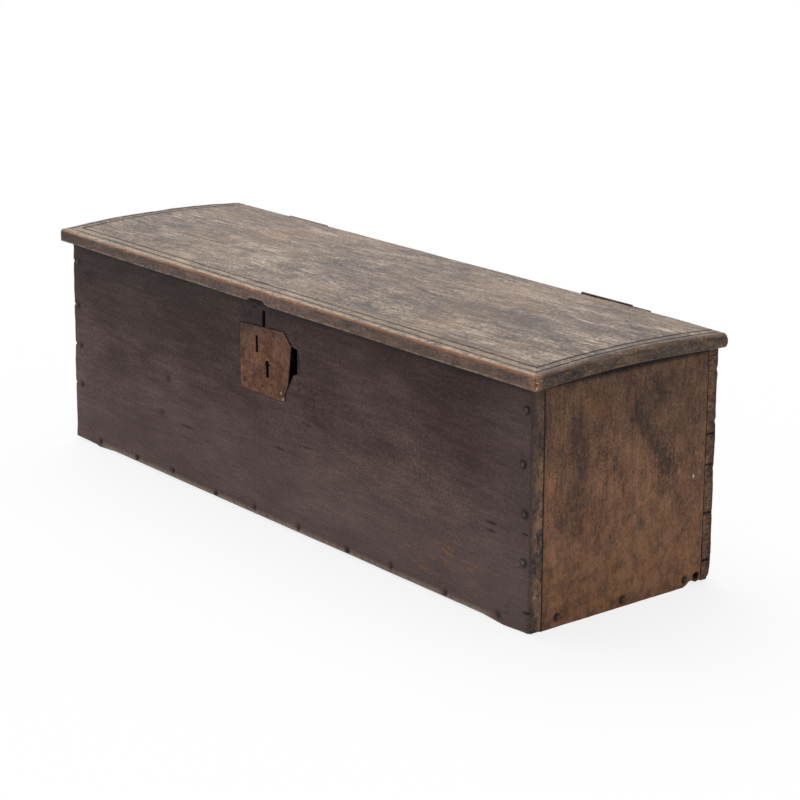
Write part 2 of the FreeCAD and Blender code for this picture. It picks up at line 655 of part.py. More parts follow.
def lock_plate(nails):
    """Plate with the staple slot, the keyhole and two nail holes that stand empty."""
    body = new_body("lock_plate_blank")
    face = f"(plate_thick - {PLATE_BACK})"
    sketch = new_sketch(body, "XZ_Plane", face)
    outline(sketch, plate_corners())
    extrude(body, "Pad", sketch, "plate_thick", backwards=True)
    holes = new_sketch(body, "XZ_Plane", face)
    bolt_middle = f"({BOLT_FOOT} + bolt_height / 2)"
    rectangle(holes, f"{STAPLE_X} - staple_slot / 2", f"{bolt_middle} - staple_below",
              f"{STAPLE_X} + staple_slot / 2", f"{bolt_middle} + staple_above")
    circle(holes, "key_offset", KEY_Z, "keyhole_radius")
    circle(holes, "key_offset - top_hole_left", f"{KEY_Z} + top_hole_up", "old_nail_hole")
    circle(holes, "key_offset - low_hole_left", f"{KEY_Z} - low_hole_down", "old_nail_hole")
    cut_into(body, holes, "2 * plate_thick")
    bit_slot = new_sketch(body, "XZ_Plane", face)
    rectangle(bit_slot, "key_offset - keyhole_slot / 2", f"{KEY_Z} - key_reach",
              "key_offset + keyhole_slot / 2", KEY_Z)
    cut_into(body, bit_slot, "2 * plate_thick")
    return driven("lock_plate", body, [nails])


def lock_bolt():
    """Bolt, drawn clear of the staple slot, with the talon that the key throws."""
    body = new_body("lock_bolt")
    sketch = new_sketch(body, "XZ_Plane", f"-({PLATE_BACK} + works_gap)")
    talon = "(key_offset + bolt_travel / 2)"
    outline(sketch, ((BOLT_TIP, BOLT_FOOT), (f"{talon} - talon_width / 2", BOLT_FOOT),
                     (f"{talon} - talon_width / 2", f"{BOLT_FOOT} + talon_depth"),
                     (f"{talon} + talon_width / 2", f"{BOLT_FOOT} + talon_depth"),
                     (f"{talon} + talon_width / 2", BOLT_FOOT), (BOLT_END, BOLT_FOOT), (BOLT_END, BOLT_TOP),
                     (BOLT_TIP, BOLT_TOP)))
    extrude(body, "Pad", sketch, "bolt_thick", backwards=True)
    return body


def bolt_keeper(place, middle):
    """Strap over the bolt, with its two feet on the plate."""
    body = new_body(f"bolt_keeper_{place}")
    body.setExpression("Placement.Base.x", bind(middle))
    inner_back = f"({PLATE_BACK} + bolt_thick + 2 * works_gap)"
    low = f"({BOLT_FOOT} - works_gap)"
    high = f"({BOLT_TOP} + works_gap)"
    profile = new_sketch(body, "YZ_Plane")
    outer_back = f"({inner_back} + strap_thick)"
    foot = f"({low} - strap_thick)"
    head = f"({high} + strap_thick)"
    outline(profile, ((PLATE_BACK, foot), (outer_back, foot), (outer_back, head), (PLATE_BACK, head),
                      (PLATE_BACK, high), (inner_back, high), (inner_back, low), (PLATE_BACK, low)))
    extrude(body, "Pad", profile, "keeper_width", symmetric=True)
    return body


def key_bridge():
    """Strap that stands off the plate behind the key and carries its post."""
    body = new_body("key_bridge")
    body.setExpression("Placement.Base.x", bind("key_offset"))
    inner = f"({PLATE_BACK} + bridge_depth)"
    outer = f"({inner} + strap_thick)"
    profile = new_sketch(body, "YZ_Plane")
    low = f"({BRIDGE_FOOT} + strap_thick)"
    high = f"({BRIDGE_TOP} - strap_thick)"
    outline(profile, ((PLATE_BACK, BRIDGE_FOOT), (outer, BRIDGE_FOOT), (outer, BRIDGE_TOP),
                      (PLATE_BACK, BRIDGE_TOP), (PLATE_BACK, high), (inner, high), (inner, low),
                      (PLATE_BACK, low)))
    extrude(body, "Pad", profile, "bridge_width", symmetric=True)
    return body


def key_post():
    """Post that the barrel of the key turns on."""
    body = new_body("key_post")
    sketch = new_sketch(body, "XZ_Plane", f"-({PLATE_BACK} + bridge_depth)")
    circle(sketch, "key_offset", KEY_Z, "post_radius")
    extrude(body, "Pad", sketch, "bridge_depth + plate_thick / 2")
    return body


def bolt_spring():
    """Leaf spring that bears on the bolt, with its foot on the plate."""
    body = new_body("bolt_spring")
    foot = f"({BOLT_END} - spring_foot)"
    tip = f"({foot} - spring_reach)"
    rest = f"({BOLT_TOP} + works_gap)"
    held = f"({BOLT_TOP} + spring_rise)"
    bend = "(spring_reach ^ 2 / spring_rise)"
    strip = new_sketch(body, "XZ_Plane", f"-({PLATE_BACK} + works_gap)")
    outline(strip, ((tip, rest), (foot, f"{held} - spring_thick"), (BOLT_END, f"{held} - spring_thick"),
                    (BOLT_END, held), (foot, held), (tip, f"{rest} + spring_thick")),
            {0: "-" + bend, 4: bend})
    extrude(body, "Pad", strip, "bolt_thick", backwards=True)
    block = new_sketch(body, "XZ_Plane", f"-{PLATE_BACK}")
    rectangle(block, foot, f"{held} - spring_thick", BOLT_END, f"{held} + spring_thick")
    extrude(body, "Pad", block, "bolt_thick + works_gap", backwards=True)
    return body


def lock():
    """The lock's pieces and the nails of its plate."""
    foot = f"({KEY_Z} - plate_down)"
    face = f"({PLATE_BACK} - plate_thick)"
    corner = f"({PLATE_RIGHT} - plate_taper)"
    places = ((f"{PLATE_LEFT} + plate_nail_side", face, f"{foot} + left_nail_rise"),
              (corner, face, f"{foot} + plate_nail_inset"),
              (f"{corner} + edge_nail_out", face, f"{foot} + edge_nail_rise"))
    nails = nail_group("lock_plate_nails", "tack", places, Vector(0, 1, 0))
    locked_tip = f"({BOLT_TIP} - bolt_travel)"
    locked_end = f"({BOLT_END} - bolt_travel)"
    keepers = {"left": f"{locked_tip} + keeper_margin - keeper_width / 2",
               "middle": f"{BOLT_TIP} + keeper_width / 2 + works_gap",
               "right": f"{locked_end} - keeper_margin - keeper_width / 2"}
    pieces = [lock_plate(nails), lock_bolt(), key_bridge(), key_post(), bolt_spring(), nails]
    pieces += [bolt_keeper(place, middle) for place, middle in keepers.items()]
    return pieces, nails


def chest():
    """Every piece of the chest."""
    nails = carcass_nails()
    lock_pieces, lock_nails = lock()
    left_pieces, left_lid_nails, left_back_nails = hinge("left")
    right_pieces, right_lid_nails, right_back_nails = hinge("right")
    planks = [
        front_board([nails["front_left_nails"], nails["front_right_nails"], nails["front_foot_nails"],
                     lock_nails]),
        back_board([nails["back_left_nails"], nails["back_right_nails"], nails["back_foot_nails"],
                    left_back_nails, right_back_nails]),
        bottom_board([nails["front_foot_nails"], nails["back_foot_nails"], nails["left_end_foot_nails"],
                      nails["right_end_foot_nails"]]),
        lid_board([left_lid_nails, right_lid_nails]),
    ]
    for side in ("left", "right"):
        planks.append(end_board(side, [nails[f"front_{side}_nails"], nails[f"back_{side}_nails"],
                                       nails[f"{side}_end_foot_nails"]]))
    return planks + list(nails.values()) + lock_pieces + left_pieces + right_pieces


pieces = chest()
doc.recompute()
failed = [item.Label for item in doc.Objects if {"Invalid", "Error"} & set(item.State)]
assert not failed, failed
for piece in pieces:
    assert not piece.Shape.isNull() and piece.Shape.isValid(), piece.Label
os.makedirs("parts", exist_ok=True)
for piece in pieces:
    piece.Shape.exportStep(f"parts/{piece.Label}.step")
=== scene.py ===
"""Looks of the six plank chest, dressed over its CAD frame: worn boards, rusted iron, a white studio.

Metres, in the frame's axes: X along the front, Y from the front to the back, Z up from the floor.
Marks on the boards are placed in millimetres.
"""
import json
import math

import bmesh
import bpy
import numpy as np
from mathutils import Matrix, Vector
from mathutils.bvhtree import BVHTree


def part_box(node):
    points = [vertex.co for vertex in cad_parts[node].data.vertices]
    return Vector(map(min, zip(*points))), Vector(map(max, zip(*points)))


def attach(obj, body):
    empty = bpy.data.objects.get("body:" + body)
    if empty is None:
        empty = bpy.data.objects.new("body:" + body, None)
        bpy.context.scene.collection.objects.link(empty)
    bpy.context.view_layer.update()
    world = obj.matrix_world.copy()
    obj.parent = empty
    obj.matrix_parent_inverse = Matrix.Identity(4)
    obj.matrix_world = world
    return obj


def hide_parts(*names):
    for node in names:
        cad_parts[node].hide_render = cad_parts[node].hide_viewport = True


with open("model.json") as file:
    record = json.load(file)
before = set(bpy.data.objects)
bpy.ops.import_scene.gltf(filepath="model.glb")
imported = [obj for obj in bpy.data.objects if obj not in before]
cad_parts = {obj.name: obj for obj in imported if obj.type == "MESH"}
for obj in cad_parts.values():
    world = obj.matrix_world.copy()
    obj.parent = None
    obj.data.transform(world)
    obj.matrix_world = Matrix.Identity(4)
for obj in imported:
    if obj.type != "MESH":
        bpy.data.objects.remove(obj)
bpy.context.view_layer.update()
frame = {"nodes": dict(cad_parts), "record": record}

MM = 0.001

# Camera of the photograph, fitted to the chest's corners
CAMERA_PLACE = Vector((2.3427, -1.8035, 0.9936))
CAMERA_YAW = math.radians(-51.53)
CAMERA_PITCH = math.radians(16.0)
CAMERA_LENS = 103.05
SENSOR_WIDTH = 36

# Studio
SKY_LEVEL = 0.5
SUN_LEVEL = 2.0
SUN_SPREAD = math.radians(60)
SUN_FROM = Vector((-0.55, 0.1, 1.0))
FLOOR_HALF = 30
FLOOR_GLOW = 0.82
PAPER_WHITE = 0.95

# Grids of the boards: the usual gap of their lines, and the lines close to an edge
BOARD_STEP = 5 * MM
EDGE_LINES = np.array((0, 0.5, 1.2, 2.2, 3.5, 5.5, 8)) * MM
CLOSEST_LINES = 0.3 * MM
INSIDE_EDGE = 0.3 * MM
# Rays start that far outside a board, and its wandering edges fade out that far in
RAY_START = 60 * MM
OUTLINE_FADE = 40 * MM
SHARP_EDGE = math.radians(55)
NOISE_CELLS = 64
OCTAVES = 3

# Front: its worn arrises, foot and left end, and the least thickness that its wear leaves
FRONT_RADIUS = 1.7 * MM
FRONT_CORNER_WEAR = 5 * MM
FRONT_END_OUT = 0.8 * MM
FRONT_END_BAND = 1 * MM
TOE_END = 455 * MM
TOE_FADE = 40 * MM
TOE_HEIGHT = 13 * MM
DEEPEST_WEAR = 8 * MM
LEAST_LEFT = 1.5 * MM
INNER_PLANE = 3 * MM
# The broken ledge of the mortise beside the lock plate, and the calm wood about that plate
LOCK_RIGHT = 26 * MM
LOCK_ABOVE = 28 * MM
PLATE_SINK = 1.2 * MM
PLATE_CALM = 3 * MM
MORTISE_FOOT = 24 * MM
MORTISE_DEPTH = 12 * MM
LEDGE_WIDTH = 10.5 * MM
LEDGE_FOOT = 16 * MM
NARROWING = (5 * MM, 0.6)
LEDGE_SLOPE = 0.12
LEDGE_LEAST = 1.4 * MM
LEDGE_RIM = 2 * MM
# Dents and gouges: place along and up, half length and height, depth; and the depth at which their painted
# shade is darkest
FRONT_DENTS = (
    (433, 121, 14, 2.5, 1.6), (432, 111, 10, 2.5, 1.4), (492, 123, 9, 2.2, 1.4), (496, 27, 9, 2.4, 2.2),
    (-209, 87, 24, 3, 1.1), (8, 109, 20, 3, 1.1), (68, 124, 28, 3, 1), (-255, 146, 12, 10, 1),
    (-274, 94, 14, 8, 0.9), (322, 212, 30, 3, 0.8), (-42, 290, 10, 6, 0.8))
HOLLOW_FULL = 1.4 * MM
# Dents that the lost hasp and the key have left round the lock
LOCK_DENTS = 26
LOCK_DENT_RING = (62 * MM, 84 * MM)
LOCK_DENT_DEPTH = (0.3 * MM, 0.9 * MM)
LOCK_DENT_SIZE = (2.5 * MM, 6 * MM)
# Closer lines of the front: at its nails, its foot and its gouges, and over the parts of the lock
NAIL_STEP = 2 * MM
GOUGE_STEP = 1.3 * MM
FRONT_FOOT_BAND = (9 * MM, 16 * MM, NAIL_STEP)
GOUGE_BANDS = [(start * MM, end * MM, GOUGE_STEP) for start, end in ((23, 31), (83, 91), (104, 128))]
LOCK_STEP = 1.2 * MM
MORTISE_STEP = 1 * MM
PLATE_MARGIN = 8 * MM
PLATE_SLANT = 14 * MM
MORTISE_BAND = 13 * MM
PLATE_FOOT = 16 * MM
PLATE_HEAD = 10 * MM
BAND_GAP = 1 * MM

# Nails: how far the points of one may lie apart, the reach of the rust stain and painted shadow round it,
# the columns' band, and how far about the left and foot nails the front's stain covers them
NAIL_APART = 15 * MM
NAIL_STAIN_AND_SHADOW = 8.5 * MM
NAIL_BAND = (22 * MM, 8.5 * MM)
NAIL_COVER = (20 * MM, 10 * MM)

# Back: its worn arrises, and at its right end the splits' heights and shape, the foot and that foot's toe
BACK_RADIUS = 2.2 * MM
BACK_CORNER_WEAR = 4 * MM
BACK_SPLITS = (28, 89, 151, 190)
BACK_SPLIT_DEPTH = 2.5 * MM
BACK_SPLIT_HALF = 1.6 * MM
BACK_END_BAND = 6 * MM
BACK_FOOT = 34 * MM
BACK_FOOT_BAND = (20 * MM, 40 * MM, 2.5 * MM)
BACK_TOE = 3 * MM

# Lid: places of its grooves in from the edge, and the band of close lines over them
GROOVES = (12 * MM, 25 * MM)
GROOVE_BAND = (9 * MM, 28.5 * MM)
GROOVE_STEP = 0.75 * MM
# Its worn arrises, chipped nosing and knocked rear right corner
LID_RADIUS = 1.8 * MM
LID_WORN_MOST = 2.5 * MM
LID_WORN_FULL = 2 * MM
LID_WAVE_MOST = 0.3 * MM
LID_UNDER_ARRIS = 1.4 * MM
LID_CHIPS = 22
LID_CHIP_DEPTH = (0.3 * MM, 1.3 * MM)
LID_CHIP_SIZE = (4 * MM, 12 * MM)
NOSING_BAND = 3 * MM
REAR_CORNER_TOP = 6 * MM
REAR_CORNER_UNDER = 5 * MM
# Its outline: how far the edges lie in on the whole, and its round corners
LID_FRONT_IN = 0.6 * MM
LID_BACK_IN = 0.7 * MM
LID_END_IN = 0.5 * MM
LID_FRONT_CORNER = 4 * MM
LID_BACK_CORNER = 5 * MM
# Splits along the lid's grain, from and to, and bands of close lines across them with their gap
LID_SPLITS = (((-347, -55), (-251, -48)), ((-79, 1), (-39, -6)), ((110, -8), (176, -18)))
SPLIT_BANDS = ((-60 * MM, -44 * MM, 1.5 * MM), (-24 * MM, 6 * MM, 1.5 * MM))
SPLIT_DEPTH = 0.9 * MM

# Ends: their worn arrises, and how far in a face lies so that its waves stay inside the board
END_RADIUS = 1.9 * MM
END_SUNK = 0.4 * MM
# Drying cracks up the right end, from and to, and the band of close lines across them with their gap
END_CRACKS = (((-2, 160), (-3, 120)), ((-8, 80), (-10, 52)))
CRACK_BAND = (-14 * MM, 3 * MM, 0.8 * MM)
CRACK_DEPTH = 1.1 * MM
# The share of painted shade in the cracks; the hole behind the break is fully shaded
CRACK_DARK = 0.19
# Its broken lower rear corner: the highest place of the break, the slope behind it, and its rough foot
CHIP_BAND = (100 * MM, 24 * MM)
CHIP_STEP = 1.5 * MM
CHIP_PEAK = 120 * MM
CHIP_SLOPE = 7 * MM
CHIP_LEAST = 0.35
BROKEN_HEIGHT = 6 * MM
BROKEN_ROUGHER = 10
# The hole behind the break, with the size and the seed of its ragged edge
HOLE_PLACE = (125 * MM, 10 * MM)
HOLE_REACH = (8 * MM, 9 * MM)
HOLE_DEPTH = 9 * MM
HOLE_STEEP = 4
HOLE_EDGE = 1.6
HOLE_RAGGED = (7 * MM, 5 * MM, 245)

# Blots of paint: a place and a reach along each axis, the last in from the lid's front right corner
FRONT_SCUFF = ((345, -150, 45), (130, 60, 50))
LOCK_SMUDGE = ((-50, -150, 274), (42, 40, 18))
KNOCKED_CORNER = ((2, -2, 14), (14, 12, 30))
# Paint of the lid: stains at a place along and across, with half length and width and a strength
LID_STAINS = (
    (-482, 5, 16, 9, 0.7), (324, -5, 60, 24, 0.5), (-420, 90, 70, 14, 0.3), (60, 70, 90, 12, 0.3),
    (-48, -136, 22, 5, 0.7), (410, -75, 40, 8, 0.4), (-150, 40, 70, 9, 0.3), (250, 60, 80, 14, 0.3),
    (-300, -95, 120, 22, 0.3), (180, -60, 90, 20, 0.3), (-430, -85, 80, 26, 0.4), (-250, 5, 90, 34, 0.4),
    (245, -25, 90, 40, 0.4), (350, -35, 80, 44, 0.4))
LID_STAIN_DEEP = 60
# Rubbed streaks of the lid: place along and across, half length
LID_STREAKS = ((490, -57, 14), (455, -20, 12), (380, 40, 22), (470, 90, 18))
STREAK_HALF = 4
# Paint of the right end: stains and bare patches across and up, with half width and height and a strength
END_STAINS = (
    (-88, 60, 26, 60, 0.35), (60, 262, 62, 38, 0.6), (90, 215, 40, 60, 0.35), (8, 8, 70, 12, 0.4),
    (122, 40, 12, 50, 0.4), (-100, 14, 30, 16, 0.4), (-128, 40, 22, 60, 0.5), (-78, 145, 34, 40, 0.3))
END_BARE = ((-54, 262, 20, 22, 0.5), (-40, 14, 34, 12, 0.5), (-105, 40, 20, 40, 0.25), (117, 22, 9, 12, 0.7))
END_STAIN_DEEP = 200
# Stains run down it: from, to, half width and a strength
END_RUNS = (
    ((-77, 255), (-77, 113), 20, 0.55), ((14, 240), (74, 162), 20, 0.85), ((80, 160), (92, 110), 10, 0.4))
# A white fleck on it: place across and up, reach in, across and up
END_FLECK = ((114, 142), (30, 1.8, 2.8))


def srgb(*shade):
    """A colour as a screen shows it, 0 to 255, as a linear one."""
    shares = np.array(shade) / 255
    return (*np.where(shares <= 0.04045, shares / 12.92, ((shares + 0.055) / 1.055) ** 2.4), 1)


def new_object(name, data):
    """An object in the scene that shows the data."""
    item = bpy.data.objects.new(name, data)
    bpy.context.scene.collection.objects.link(item)
    return item


# Seeded noise

def lumps(u, v, size_u, size_v, seed):
    """Smooth noise from -1 to 1 over two coordinates, in lumps of a size for each."""
    table = np.random.default_rng(seed).uniform(-1, 1, (NOISE_CELLS, NOISE_CELLS))
    a, b = np.broadcast_arrays(np.asarray(u) / size_u, np.asarray(v) / size_v)
    column = np.floor(a).astype(int)
    row = np.floor(b).astype(int)
    s = a - column
    t = b - row
    s = s * s * (3 - 2 * s)
    t = t * t * (3 - 2 * t)

    def corner(right, up):
        return table[(column + right) % NOISE_CELLS, (row + up) % NOISE_CELLS]

    near_row = corner(0, 0) * (1 - s) + corner(1, 0) * s
    far_row = corner(0, 1) * (1 - s) + corner(1, 1) * s
    return near_row * (1 - t) + far_row * t


def rough(u, v, size_u, size_v, seed):
    """Noise from about -1 to 1 with finer and fainter octaves added."""
    layers = [lumps(u, v, size_u / 2 ** n, size_v / 2 ** n, seed + n) / 2 ** n for n in range(OCTAVES)]
    return sum(layers) / sum(1 / 2 ** n for n in range(OCTAVES))


def waves(u, v, *layers):
    """Unevenness in metres from layers of noise: each a depth, a size both ways in mm, and a seed."""
    return sum(depth * MM * rough(u, v, long * MM, wide * MM, seed) for depth, long, wide, seed in layers)


# Shapes read from the CAD boards

def surface(node):
    """A CAD node's surface, to send rays at."""
    mesh = frame["nodes"][node].data
    return BVHTree.FromPolygons([v.co for v in mesh.vertices], [p.vertices for p in mesh.polygons])


def points_at(x, y, z):
    """Points at those coordinates, any of which may be one number for all."""
    return np.stack(np.broadcast_arrays(x, y, z), -1)


def met(tree, x, y, z, way):
    """Where rays from those coordinates, sent along an axis, meet the surface on that axis, or nan."""
    starts = points_at(x, y, z)
    direction = Vector(way)
    runs = [tree.ray_cast(Vector(start), direction)[3] for start in starts.reshape(-1, 3)]
    runs = np.array([np.nan if run is None else run for run in runs]).reshape(starts.shape[:-1])
    axis = np.flatnonzero(way)[0]
    return starts[..., axis] + way[axis] * runs


def bridged(row):
    """A row of places, with each that is nan bridged from its neighbours."""
    known = ~np.isnan(row)
    order = np.arange(len(row))
    return np.interp(order, order[known], row[known])


# Wear

def arris(edges, radius):
    """How far an arris is worn down, by the distances to its edges and its radius."""
    past = sum(np.maximum(radius - distance, 0) ** 2 for distance in edges)
    return radius - np.sqrt(np.maximum(radius ** 2 - past, 0))


def dent(u, v, place, reach):
    """A hollow from 0 to 1 about a place, out to its reach each way."""
    away = ((u - place[0]) / reach[0]) ** 2 + ((v - place[1]) / reach[1]) ** 2
    return np.exp(-2 * away)


def cracks(u, v, lines, reach, seed):
    """Depth from 0 to 1 of cracks that stray along lines, each from one place in mm to another."""
    depth = np.zeros_like(u)
    stray = waves(u, v, (1.5, 18, 18, seed))
    for start, end in lines:
        start = np.array(start) * MM
        run = np.array(end) * MM - start
        length = math.hypot(*run)
        along = ((u - start[0]) * run[0] + (v - start[1]) * run[1]) / length ** 2
        aside = ((u - start[0]) * run[1] - (v - start[1]) * run[0]) / length + stray
        tapered = np.clip(4 * np.minimum(along, 1 - along) + 0.3, 0, 1) * ((along > 0) & (along < 1))
        depth = np.maximum(depth, tapered * np.clip(1 - np.abs(aside) / reach, 0, 1))
    return depth


def pitted(points, pit, edge):
    """Points of a wall, with those past an edge along X moved in by the depths of their pits."""
    moved = points.copy()
    moved[:, 0] -= np.where(points[:, 0] > edge, pit, 0)
    return moved


def nail_stain_and_shadow(u, v, nodes, axes):
    """Rust stain and painted shadow of a face with those axes, 1 at each separate nail of some CAD nodes."""
    stain = np.zeros_like(u)
    for node in nodes:
        left = np.array([vertex.co for vertex in frame["nodes"][node].data.vertices])[:, axes]
        while len(left):
            beside = np.linalg.norm(left - left[0], axis=1) < NAIL_APART
            stain = np.maximum(stain, dent(u, v, left[beside].mean(axis=0), (NAIL_STAIN_AND_SHADOW, NAIL_STAIN_AND_SHADOW)))
            left = left[~beside]
    return stain


def near(distance):
    """1 at an edge, falling to 0 where its wandering ends."""
    return np.clip(1 - distance / OUTLINE_FADE, 0, 1)


def rounded(u, v, radius):
    """How far points move in to round a square corner, from their distances to its edges."""
    a = np.maximum(radius - u, 0)
    b = np.maximum(radius - v, 0)
    kept = np.maximum(a, b) / np.maximum(np.hypot(a, b), 1e-9)
    return a * (1 - kept), b * (1 - kept)


# Meshes of the boards

def grid_lines(low, high, step, dense=()):
    """Places from low to high a step apart, closer over dense stretches and towards both ends."""
    places = np.linspace(low, high, round((high - low) / step) + 1)
    for start, end, gap in dense:
        places = places[(places < start - gap / 2) | (places > end + gap / 2)]
        places = np.concatenate([places, np.linspace(start, end, round((end - start) / gap) + 1)])
    places = places[(places > low + EDGE_LINES[-1]) & (places < high - EDGE_LINES[-1])]
    places = np.sort(np.concatenate([places, low + EDGE_LINES, high - EDGE_LINES]))
    return places[np.concatenate([[True], np.diff(places) > CLOSEST_LINES])]


def grid_of(along, up):
    """The points of a grid of lines, and their distances to its four edges."""
    u, v = np.meshgrid(along, up, indexing="ij")
    return u, v, (u - along[0], along[-1] - u, v - up[0], up[-1] - v)


def rim_of(grid):
    """The rim of a grid, in order round it."""
    return np.concatenate([grid[:, 0], grid[-1, 1:], grid[-2::-1, -1], grid[0, -2:0:-1]])


def quads_of(index):
    """The quads of a grid of point numbers."""
    corners = (index[:-1, :-1], index[1:, :-1], index[1:, 1:], index[:-1, 1:])
    return np.stack(corners, -1).reshape(-1, 4).tolist()


def board(name, face, back, marks, wall=None, rows=6, flat_back=True):
    """A closed board: its worn face, walls in rows round its rim, and the face behind it.

    wall moves the points of the rows between the face and the back. marks are values kept at the
    face's points for the material, fading out down the walls, and the mark down runs from 0 to 1 there.
    """
    index = np.arange(face[..., 0].size).reshape(face.shape[:2])
    points = [face.reshape(-1, 3)]
    marks = {**marks, "down": np.zeros(index.shape)}
    values = {mark: [level.reshape(-1)] for mark, level in marks.items()}
    faces = quads_of(index)
    loops = [rim_of(index)]
    for row in range(1, rows + 1):
        share = row / rows
        count = sum(len(part) for part in points)
        last_grid = row == rows and not flat_back
        if last_grid:
            added = back.reshape(-1, 3)
            under = count + index
            loops.append(rim_of(under))
            faces += quads_of(under)
        else:
            added = rim_of(face) * (1 - share) + rim_of(back) * share
            added = wall(added) if wall and row < rows else added
            loops.append(count + np.arange(len(added)))
        points.append(added)
        for mark, level in marks.items():
            faded = np.zeros(len(added)) if last_grid else rim_of(level) * (1 - share)
            values[mark].append(faded if mark != "down" else np.full(len(added), share))
    for upper, lower in zip(loops, loops[1:]):
        sides = (upper, lower, np.roll(lower, -1), np.roll(upper, -1))
        faces += np.stack(sides, -1).tolist()
    if flat_back:
        faces.append(loops[-1].tolist())
    return piece_of(name, np.concatenate(points), faces, values)


def piece_of(name, points, faces, values):
    """An object of those points and faces, facing outwards, with the values kept at its points."""
    mesh = bpy.data.meshes.new(name)
    mesh.from_pydata(points.tolist(), [], faces)
    built = bmesh.new()
    built.from_mesh(mesh)
    bmesh.ops.recalc_face_normals(built, faces=built.faces)
    built.to_mesh(mesh)
    built.free()
    for mark, levels in values.items():
        kept = mesh.attributes.new(mark, "FLOAT", "POINT")
        kept.data.foreach_set("value", np.concatenate(levels).astype(np.float32))
    mesh.shade_smooth()
    mesh.set_sharp_from_angle(angle=SHARP_EDGE)
    return new_object(name, mesh)


def dress(piece, node, body, material):
    """Puts a piece in the place of its CAD node."""
    piece.data.materials.append(material)
    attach(piece, body)
    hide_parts(node)


# Front plank

def front_grid(left, low, high, plate_low, plate_high):
    """Lines along and up the front, close at its nails, lock, gouges and worn foot."""
    nails_in, nails_out = NAIL_BAND
    along = grid_lines(left, high.x, BOARD_STEP, (
        (-high.x, nails_in - high.x, NAIL_STEP),
        (plate_low.x - PLATE_MARGIN, plate_high.x - PLATE_SLANT, GOUGE_STEP),
        (plate_high.x - MORTISE_BAND, plate_high.x + LOCK_RIGHT, MORTISE_STEP),
        (high.x - nails_in, high.x - nails_out, NAIL_STEP)))
    plate_foot = plate_low.z + PLATE_FOOT
    plate_head = plate_high.z - PLATE_HEAD
    up = grid_lines(low.z, high.z, step=3 * MM, dense=(
        FRONT_FOOT_BAND, *GOUGE_BANDS,
        (plate_low.z - PLATE_MARGIN, plate_foot, NAIL_STEP),
        (plate_foot + BAND_GAP, plate_head, LOCK_STEP),
        (plate_head + BAND_GAP, plate_high.z + LOCK_ABOVE, NAIL_STEP)))
    return along, up


def mortise_as_broken(cut, x, z, foot):
    """The lock's mortise as it shows: broken to a shallow ledge at its right, narrow below that ledge.

    With its depths come its marks: painted shade in its deep part, its broken ledge, and a painted highlight
    on the rim above them.
    """
    deep = cut > DEEPEST_WEAR
    head = np.max(np.where(deep, z, 0), axis=1, keepdims=True)
    opened = (z > foot) & (z < head)
    below = np.maximum(foot + LEDGE_FOOT - z, 0)
    step, slant = NARROWING
    width = LEDGE_WIDTH + waves(x, z, (0.8, 9, 6, 65))
    width = width + np.where(below > 0, step + slant * below, 0)
    to_end = x[deep].max() - x
    dark = opened & (to_end > width)
    ledge = opened & ~dark & (below == 0)
    slope = LEDGE_LEAST + LEDGE_SLOPE * to_end + waves(x, z, (0.8, 6, 3, 61))
    cut = np.where(deep & ~opened, PLATE_SINK, cut)
    cut = np.where(opened, 0, cut)
    cut = np.where(dark, MORTISE_DEPTH, np.where(ledge, slope, cut))
    above = (head > foot) & (z > head) & (z < head + LEDGE_RIM)
    rim = above | ledge & (to_end < LEDGE_RIM) & (z > head - LEDGE_WIDTH)
    # dark carries painted shade in the deep recesses, rim a painted highlight
    marks = {"dark": dark | (cut > 2 * PLATE_SINK) & ~ledge, "ledge": ledge & ~rim, "rim": rim}
    return cut, {name: mark.astype(float) for name, mark in marks.items()}


def front_dents(x, z, lock_middle):
    """Depth of the gouges along the front and of the dents round its lock."""
    hollow = np.zeros_like(x)
    for along, up, long, tall, depth in FRONT_DENTS:
        hollow += depth * MM * dent(x, z, (along * MM, up * MM), (long * MM, tall * MM))
    chance = np.random.default_rng(seed=41)
    for _ in range(LOCK_DENTS):
        turn = chance.uniform(0, 2 * math.pi)
        away = chance.uniform(*LOCK_DENT_RING)
        place = (lock_middle.x + away * math.cos(turn), lock_middle.z + away * math.sin(turn))
        depth = chance.uniform(*LOCK_DENT_DEPTH)
        hollow += depth * dent(x, z, place, chance.uniform(*LOCK_DENT_SIZE, 2))
    return hollow


